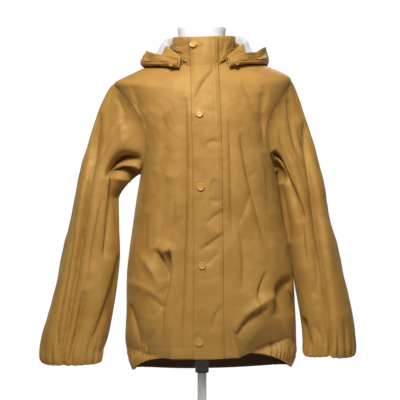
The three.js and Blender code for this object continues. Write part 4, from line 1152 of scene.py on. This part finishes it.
def revolve(name, profile, sides, materials, place, axis):
    """A turned shape from (radius, height) points in millimetres, at a place, with its axis one way."""
    turn = np.linspace(0, 2 * np.pi, sides, endpoint=False)[None, :]
    radius = np.array([p[0] for p in profile], dtype=float)[:, None]
    height = np.array([p[1] for p in profile], dtype=float)[:, None]
    grid = np.stack([radius * np.cos(turn), radius * np.sin(turn), height + 0 * turn], axis=-1)
    turned = np.array(Vector((0, 0, 1)).rotation_difference(Vector(axis)).to_matrix())
    return grid_mesh(name, grid @ turned.T + np.asarray(place), materials, round_=True)


# A turned piece's axis is closed by a point this far from it
AXIS_RADIUS = 0.02
SNAP_LIFT = 0.6
HOOD_SNAP_ALONG = 4.0
SNAP_PROFILE = (
    # share of the radius, share of the height: a raised rim round a shallow dish
    (0.94, 0),
    (1, 0.25),
    (1, 0.55),
    (0.96, 0.85),
    (0.88, 1),
    (0.79, 0.97),
    (0.71, 0.84),
    (0.62, 0.76),
    (0.4, 0.8),
    (0.2, 0.83),
    (0, 0.84),
)


def build_snap(node, point, outward, radius):
    profile = [(max(radius * r, AXIS_RADIUS), SNAP_HEIGHT * h) for r, h in SNAP_PROFILE]
    mesh = revolve(node + "_cap", profile, 56, ("snap_plastic",), point, outward)
    link_piece(node + "_cap", mesh, (node,))


def build_snaps():
    for number, (x, level) in enumerate(SNAP_PLACES, start=1):
        point, outward = front_place(np.array(float(x)), np.array(float(level)))
        point = point + outward * (FLAP_OFFSET + SNAP_LIFT)
        build_snap(f"snap_{number}", point, outward, sizes().snap_radius / MM)
    for side, bearing in HOOD_SNAP_BEARINGS:
        place = np.array(bearing), np.array(HOOD_SNAP_ALONG)
        outward = hood_outward(*place)
        build_snap(f"hood_snap_{side}", hood_plain(*place) + outward * SNAP_LIFT, outward, HOOD_SNAP_RADIUS)


# Sewing
def stitches_along(path, outward):
    """Small stitches laid end to end on a path over the cloth, as vertices and faces."""
    steps = np.linalg.norm(np.diff(path, axis=0), axis=1)
    run = np.concatenate([[0], np.cumsum(steps)])
    stitch = sizes().stitch / MM
    starts = np.arange(0.5, run[-1] - stitch, stitch + STITCH_GAP)
    vertices, faces = [], []
    for start in starts:
        ends = []
        for where in (start, start + stitch):
            ends.append((
                np.array([np.interp(where, run, path[:, k]) for k in range(3)]),
                unit(np.array([np.interp(where, run, outward[:, k]) for k in range(3)])),
            ))
        (a, up_a), (b, up_b) = ends
        across = unit(np.cross(b - a, up_a)) * STITCH_HALF
        base = len(vertices)
        middle, up = (a + b) / 2, unit(up_a + up_b)
        for centre, lift, wide in ((a, 0.0, 0.7), (middle, 0.28, 1.0), (b, 0.0, 0.7)):
            vertices += [centre - across * wide, centre + up * (lift + 0.22), centre + across * wide]
        for ring in (base, base + 3):
            faces += [(ring, ring + 1, ring + 4, ring + 3), (ring + 1, ring + 2, ring + 5, ring + 4)]
    return vertices, faces


def build_stitch_lines(name, lines):
    """Stitch lines of one part of the coat, joined as one piece."""
    vertices, faces = [], []
    for path, outward in lines:
        more, joined = stitches_along(path, outward)
        base = len(vertices)
        vertices += more
        faces += [tuple(base + corner for corner in face) for face in joined]
    mesh = bpy.data.meshes.new(name)
    mesh.from_pydata((np.array(vertices) * MM).tolist(), [], faces)
    mesh.materials.append(material_named("sewing_thread"))
    mesh.polygons.foreach_set("use_smooth", np.ones(len(faces), dtype=bool))
    link_piece(name, mesh)


def flap_lines():
    """Down both edges of the flap and across its ends."""
    flap, outward = flap_grid()
    down = [(flap[:-1, column], outward[:-1, column]) for column in (3, -4)]
    return down + [(flap[row, 2:-2], outward[row, 2:-2]) for row in (3, -4)]


def body_lines():
    """Along the hem, sunk into its dip, and beside the armholes of the fronts."""
    lines = []
    for name, start, end, columns, reach, _, _ in PANELS:
        grid, _, levels = panel_grid(start, end, columns, reach, 0.1)
        outward = hull_normals(grid)
        row = int(np.argmin(np.abs(levels - HEM_STITCH)))
        lines.append((grid[row] - outward[row] * 0.6, outward[row]))
        if name != "back":
            column = 2 if name == "front_left" else -3
            fit = (levels > UNDERARM + 4) & (levels < SHOULDER_TIP - 1)
            lines.append((grid[fit, column], outward[fit, column]))
    return lines


def cuff_lines():
    """Round each sleeve, at the top of the elastic."""
    lines = []
    for sleeve in SLEEVES:
        grid, outward, at = sleeve_grid(sleeve)
        row = int(np.argmin(np.abs(at[:, 0] - (sleeve.length - CUFF_STITCH))))
        lines.append((grid[row], outward[row]))
    return lines


def band_lines():
    band, outward = band_grid()
    return [(band[row], outward[row]) for row in (1, -2)]


def hood_lines():
    """Round the rim, at one place along every column."""
    hood, outward, _, along = hood_grid()
    path = np.array([
        [np.interp(HOOD_STITCH, along[:, column], hood[:, column, axis]) for axis in range(3)]
        for column in range(HOOD_COLUMNS)
    ])
    row = int(np.argmin(np.abs(along[:, 0] - HOOD_STITCH)))
    return [(path, outward[row])]


def build_stitching():
    for part, lines in (
        ("flap", flap_lines),
        ("body", body_lines),
        ("cuff", cuff_lines),
        ("band", band_lines),
        ("hood", hood_lines),
    ):
        build_stitch_lines(part + "_stitching", lines())


# Dress form and stand
CARRY_DROP = 3.0
FORM_LEVELS = Table(
    "at half front back centre",
    [
        (236, 16, 16, 16, 0),
        (240, 60, 48, 48, 0),
        (256, 98, 74, 74, 0),
        (300, 112, 84, 86, 1),
        (350, 110, 82, 84, 2),
        (430, 98, 78, 76, 3),
        (520, 104, 84, 80, 4),
        (600, 108, 86, 82, 4),
        (660, 122, 74, 80, 4),
        (694, 137, 62, 70, 4),
        (712, 150, 54, 58, 4),
        (722, 150, 50, 52, 4),
        (736, 100, 47, 47, 4),
        (746, 51, 44, 44, 1),
        (762, 44, 42, 42, 0),
        (785, 46, 43, 43, -0.5),
        (811, 48.5, 45, 45, -0.5),
    ],
)
SOCKET = {"radius": 13.5, "top": 239.7, "bottom": 121.0}
POLE = {"radius": 9.0, "bottom": 12.3, "top": 120.7}
BASE = {"radius": 135.0, "height": 12.0, "edge": 3.0}


FORM_ROWS = 120
FORM_COLUMNS = 96
FORM_SIDES = (241, 808)
# height and share of the radius where the form is closed below and rounded off at the top of its neck
FORM_FOOT = ((240, AXIS_RADIUS), (240.2, 0.97))
FORM_TOP = ((809.6, 0.992), (810.6, 0.975), (811, 0.93), (810.6, 0.6), (810.2, 0.01))


def form_grid():
    sides = np.stack([np.linspace(*FORM_SIDES, FORM_ROWS), np.ones(FORM_ROWS)], axis=1)
    rows = np.concatenate([FORM_FOOT, sides, FORM_TOP])
    at, inset = rows[:, :1], rows[:, 1:]
    angle = np.linspace(0, 2 * np.pi, FORM_COLUMNS, endpoint=False)[None, :]
    s, c = np.sin(angle), np.cos(angle)
    # only the shoulders lean, as the coat does
    leaning = LEAN * smooth((at - 600) / 60) * smooth((760 - at) / 30)
    left = np.minimum(FORM_LEVELS.at("half", at), carried_half("left", at))
    right = np.minimum(FORM_LEVELS.at("half", at), carried_half("right", at))
    half = np.where(s < 0, left, right)
    deep = np.where(c > 0, FORM_LEVELS.at("front", at), FORM_LEVELS.at("back", at))
    x = FORM_LEVELS.at("centre", at) + inset * half * s
    return np.stack([x, -inset * deep * c, at + leaning * x], axis=-1)


def carried_half(side, at):
    """Where the coat rests on the form's shoulders, the form keeps this far inside it."""
    resting = (at > 700) & (at < 745)
    return np.where(resting, BODY_LEVELS.at(side, at + CARRY_DROP), np.inf)


def build_turned(name, profile, sides, material, node):
    """A piece of the stand, turned about the part's own upright axis."""
    closed = [(AXIS_RADIUS, profile[0][1]), *profile, (AXIS_RADIUS, profile[-1][1])]
    mesh = revolve(name, closed, sides, (material,), (0, 0, 0), (0, 0, 1))
    link_piece(name, mesh, (node,))


def build_form():
    mesh = grid_mesh("form_body", form_grid(), ("form_cover",), round_=True)
    link_piece("form_body", mesh, ("dress_form",))
    r, top, bottom = SOCKET["radius"], SOCKET["top"], SOCKET["bottom"]
    profile = [(r - 1.6, bottom), (r - 1.0, bottom + 0.3), (r, bottom + 1.2), (r, top)]
    build_turned("form_socket_tube", profile, 64, "dark_tube", "form_socket")
    r, top, bottom = POLE["radius"], POLE["top"], POLE["bottom"]
    profile = [(r, bottom), (r, top - 0.5), (r - 0.5, top)]
    build_turned("pole_tube", profile, 48, "white_powder_coat", "pole")
    r, h, e = BASE["radius"], BASE["height"], BASE["edge"]
    profile = [(r - 0.6, 0), (r, 0.6), (r, h - e), (r - 0.3 * e, h - 0.3 * e), (r - e, h), (14, h)]
    build_turned("base_plate", profile, 96, "white_powder_coat", "base")


# Stage
CAMERA_PLACE = (-0.004, -3.0, 0.466)
LAMP_AIM = (0.0, 0.0, 0.45)
FLOOR_RADIUS = 0.47
FLOOR_DROP = 0.0005
LAMPS = (
    # name, place, size, power as a share of the key's
    ("key", (-0.2, -1.25, 1.72), 0.6, 1.0),
    ("fill", (1.0, -2.0, 1.2), 1.0, 0.12),
    ("top", (0.0, 0.2, 2.2), 0.8, 0.11),
    ("back", (0.4, 2.2, 1.9), 1.4, 0.75),
)


def build_world(scene):
    """White behind the coat at the height of the lens, and dim elsewhere, so that the lamps light the cloth."""
    world = bpy.data.worlds.new("studio")
    world.use_nodes = True
    scene.world = world
    tree = world.node_tree
    way = add_node(tree, "ShaderNodeTexCoord").outputs["Generated"]
    upward = add_node(tree, "ShaderNodeSeparateXYZ", Vector=way).outputs["Z"]
    steep = add_node(tree, "ShaderNodeMath", {"operation": "ABSOLUTE"}, i0=upward).outputs["Value"]
    behind = add_node(tree, "ShaderNodeSeparateXYZ", Vector=way).outputs["Y"]
    room = add_node(
        tree, "ShaderNodeMapRange", Value=behind, From_Min=0.3, From_Max=0.8, To_Min=0.14, To_Max=1.02
    )
    glow = add_node(tree, "ShaderNodeMapRange", Value=steep, From_Min=0.14, From_Max=0.18, To_Max=0.1)
    tree.links.new(room.outputs["Result"], glow.inputs["To Min"])
    tree.links.new(glow.outputs["Result"], tree.nodes["Background"].inputs["Strength"])
    tree.nodes["Background"].inputs["Color"].default_value = (1, 1, 1, 1)


def build_floor(settings):
    """A round of matt pale board, just under the base."""
    material, _, shader = new_material("stage_floor")
    shader.inputs["Base Color"].default_value = settings.floor
    shader.inputs["Roughness"].default_value = 0.9
    bpy.ops.mesh.primitive_circle_add(
        vertices=96, radius=FLOOR_RADIUS, fill_type="NGON", location=(0, 0, -FLOOR_DROP)
    )
    floor = bpy.context.object
    floor.name = "floor"
    floor.data.materials.append(material)


def build_lamps(scene, key_power):
    aim = Vector(LAMP_AIM)
    for name, place, size, power in LAMPS:
        data = bpy.data.lights.new(name, "AREA")
        data.size = size
        data.energy = power * key_power
        lamp = bpy.data.objects.new(name + "_light", data)
        lamp.location = place
        lamp.rotation_euler = (aim - Vector(place)).to_track_quat("-Z", "Y").to_euler()
        scene.collection.objects.link(lamp)


def build_camera(scene, frame_height):
    """Level with the coat and straight in front of it, as the photo was taken."""
    camera_data = bpy.data.cameras.new("photo_camera")
    camera_data.angle = 2 * np.arctan(frame_height / 2 / -CAMERA_PLACE[1])
    camera = bpy.data.objects.new("photo_camera", camera_data)
    camera.location = CAMERA_PLACE
    camera.rotation_euler = (np.pi / 2, 0, 0)
    scene.collection.objects.link(camera)
    scene.camera = camera


def build_stage():
    scene = bpy.context.scene
    settings = scene.raincoat_stage
    scene.view_settings.view_transform = "Standard"
    build_world(scene)
    build_floor(settings)
    build_lamps(scene, settings.key_power)
    build_camera(scene, settings.frame_height)


# The add-on's operators, one for each piece or group of like pieces
class RAINCOAT_OT_body(bpy.types.Operator):
    """Build the two fronts and the back, with their folds and the gathers along the hem"""

    bl_idname = "raincoat.build_body"
    bl_label = "Fronts and back"
    bl_options = {"REGISTER", "UNDO"}

    def execute(self, context):
        for panel in PANELS:
            build_panel(*panel)
        return {"FINISHED"}


class RAINCOAT_OT_sleeves(bpy.types.Operator):
    """Build both sleeves, with their folds and gathered wrists"""

    bl_idname = "raincoat.build_sleeves"
    bl_label = "Sleeves"
    bl_options = {"REGISTER", "UNDO"}

    def execute(self, context):
        for sleeve in SLEEVES:
            build_sleeve(sleeve)
        return {"FINISHED"}


class RAINCOAT_OT_collar(bpy.types.Operator):
    """Build the stand collar and the band round its foot"""

    bl_idname = "raincoat.build_collar"
    bl_label = "Collar and band"
    bl_options = {"REGISTER", "UNDO"}

    def execute(self, context):
        build_collar()
        build_band()
        return {"FINISHED"}


class RAINCOAT_OT_flap(bpy.types.Operator):
    """Build the storm flap over the front opening"""

    bl_idname = "raincoat.build_flap"
    bl_label = "Storm flap"
    bl_options = {"REGISTER", "UNDO"}

    def execute(self, context):
        build_flap()
        return {"FINISHED"}


class RAINCOAT_OT_hood(bpy.types.Operator):
    """Build the hood, folded down behind the neck"""

    bl_idname = "raincoat.build_hood"
    bl_label = "Hood"
    bl_options = {"REGISTER", "UNDO"}

    def execute(self, context):
        build_hood()
        return {"FINISHED"}


class RAINCOAT_OT_snaps(bpy.types.Operator):
    """Build the caps down the flap and the two that hold the hood"""

    bl_idname = "raincoat.build_snaps"
    bl_label = "Snaps"
    bl_options = {"REGISTER", "UNDO"}

    def execute(self, context):
        build_snaps()
        return {"FINISHED"}


class RAINCOAT_OT_stitching(bpy.types.Operator):
    """Sew the lines of stitches that show"""

    bl_idname = "raincoat.build_stitching"
    bl_label = "Stitching"
    bl_options = {"REGISTER", "UNDO"}

    def execute(self, context):
        build_stitching()
        return {"FINISHED"}


class RAINCOAT_OT_form(bpy.types.Operator):
    """Build the dress form, its socket, the pole and the base"""

    bl_idname = "raincoat.build_form"
    bl_label = "Dress form and stand"
    bl_options = {"REGISTER", "UNDO"}

    def execute(self, context):
        build_form()
        return {"FINISHED"}


class RAINCOAT_OT_stage(bpy.types.Operator):
    """Set up the floor, the lamps, the white backdrop and the camera"""

    bl_idname = "raincoat.build_stage"
    bl_label = "Stage"
    bl_options = {"REGISTER", "UNDO"}

    def execute(self, context):
        build_stage()
        return {"FINISHED"}


OPERATORS = (
    RAINCOAT_OT_body,
    RAINCOAT_OT_sleeves,
    RAINCOAT_OT_collar,
    RAINCOAT_OT_flap,
    RAINCOAT_OT_hood,
    RAINCOAT_OT_snaps,
    RAINCOAT_OT_stitching,
    RAINCOAT_OT_form,
    RAINCOAT_OT_stage,
)


class RAINCOAT_PT_sidebar(bpy.types.Panel):
    """Lists the coat's settings and its pieces"""

    bl_idname = "RAINCOAT_PT_sidebar"
    bl_label = "Kids raincoat"
    bl_space_type = "VIEW_3D"
    bl_region_type = "UI"
    bl_category = "Raincoat"

    def draw(self, context):
        scene = context.scene
        for settings in (scene.raincoat_sizes, scene.raincoat_colours, scene.raincoat_stage):
            box = self.layout.box()
            for name in settings.__annotations__:
                box.prop(settings, name)
        for operator in OPERATORS:
            self.layout.operator(operator.bl_idname)


CLASSES = (RaincoatSizes, RaincoatColours, RaincoatStage, *OPERATORS, RAINCOAT_PT_sidebar)


def register():
    for each in CLASSES:
        bpy.utils.register_class(each)
    bpy.types.Scene.raincoat_sizes = bpy.props.PointerProperty(type=RaincoatSizes)
    bpy.types.Scene.raincoat_colours = bpy.props.PointerProperty(type=RaincoatColours)
    bpy.types.Scene.raincoat_stage = bpy.props.PointerProperty(type=RaincoatStage)


def unregister():
    del bpy.types.Scene.raincoat_stage
    del bpy.types.Scene.raincoat_colours
    del bpy.types.Scene.raincoat_sizes
    for each in reversed(CLASSES):
        bpy.utils.unregister_class(each)


def main():
    register()
    bpy.ops.raincoat.build_body()
    bpy.ops.raincoat.build_sleeves()
    bpy.ops.raincoat.build_collar()
    bpy.ops.raincoat.build_flap()
    bpy.ops.raincoat.build_hood()
    bpy.ops.raincoat.build_snaps()
    bpy.ops.raincoat.build_stitching()
    bpy.ops.raincoat.build_form()
    bpy.ops.raincoat.build_stage()


if __name__ == "__main__":
    main()
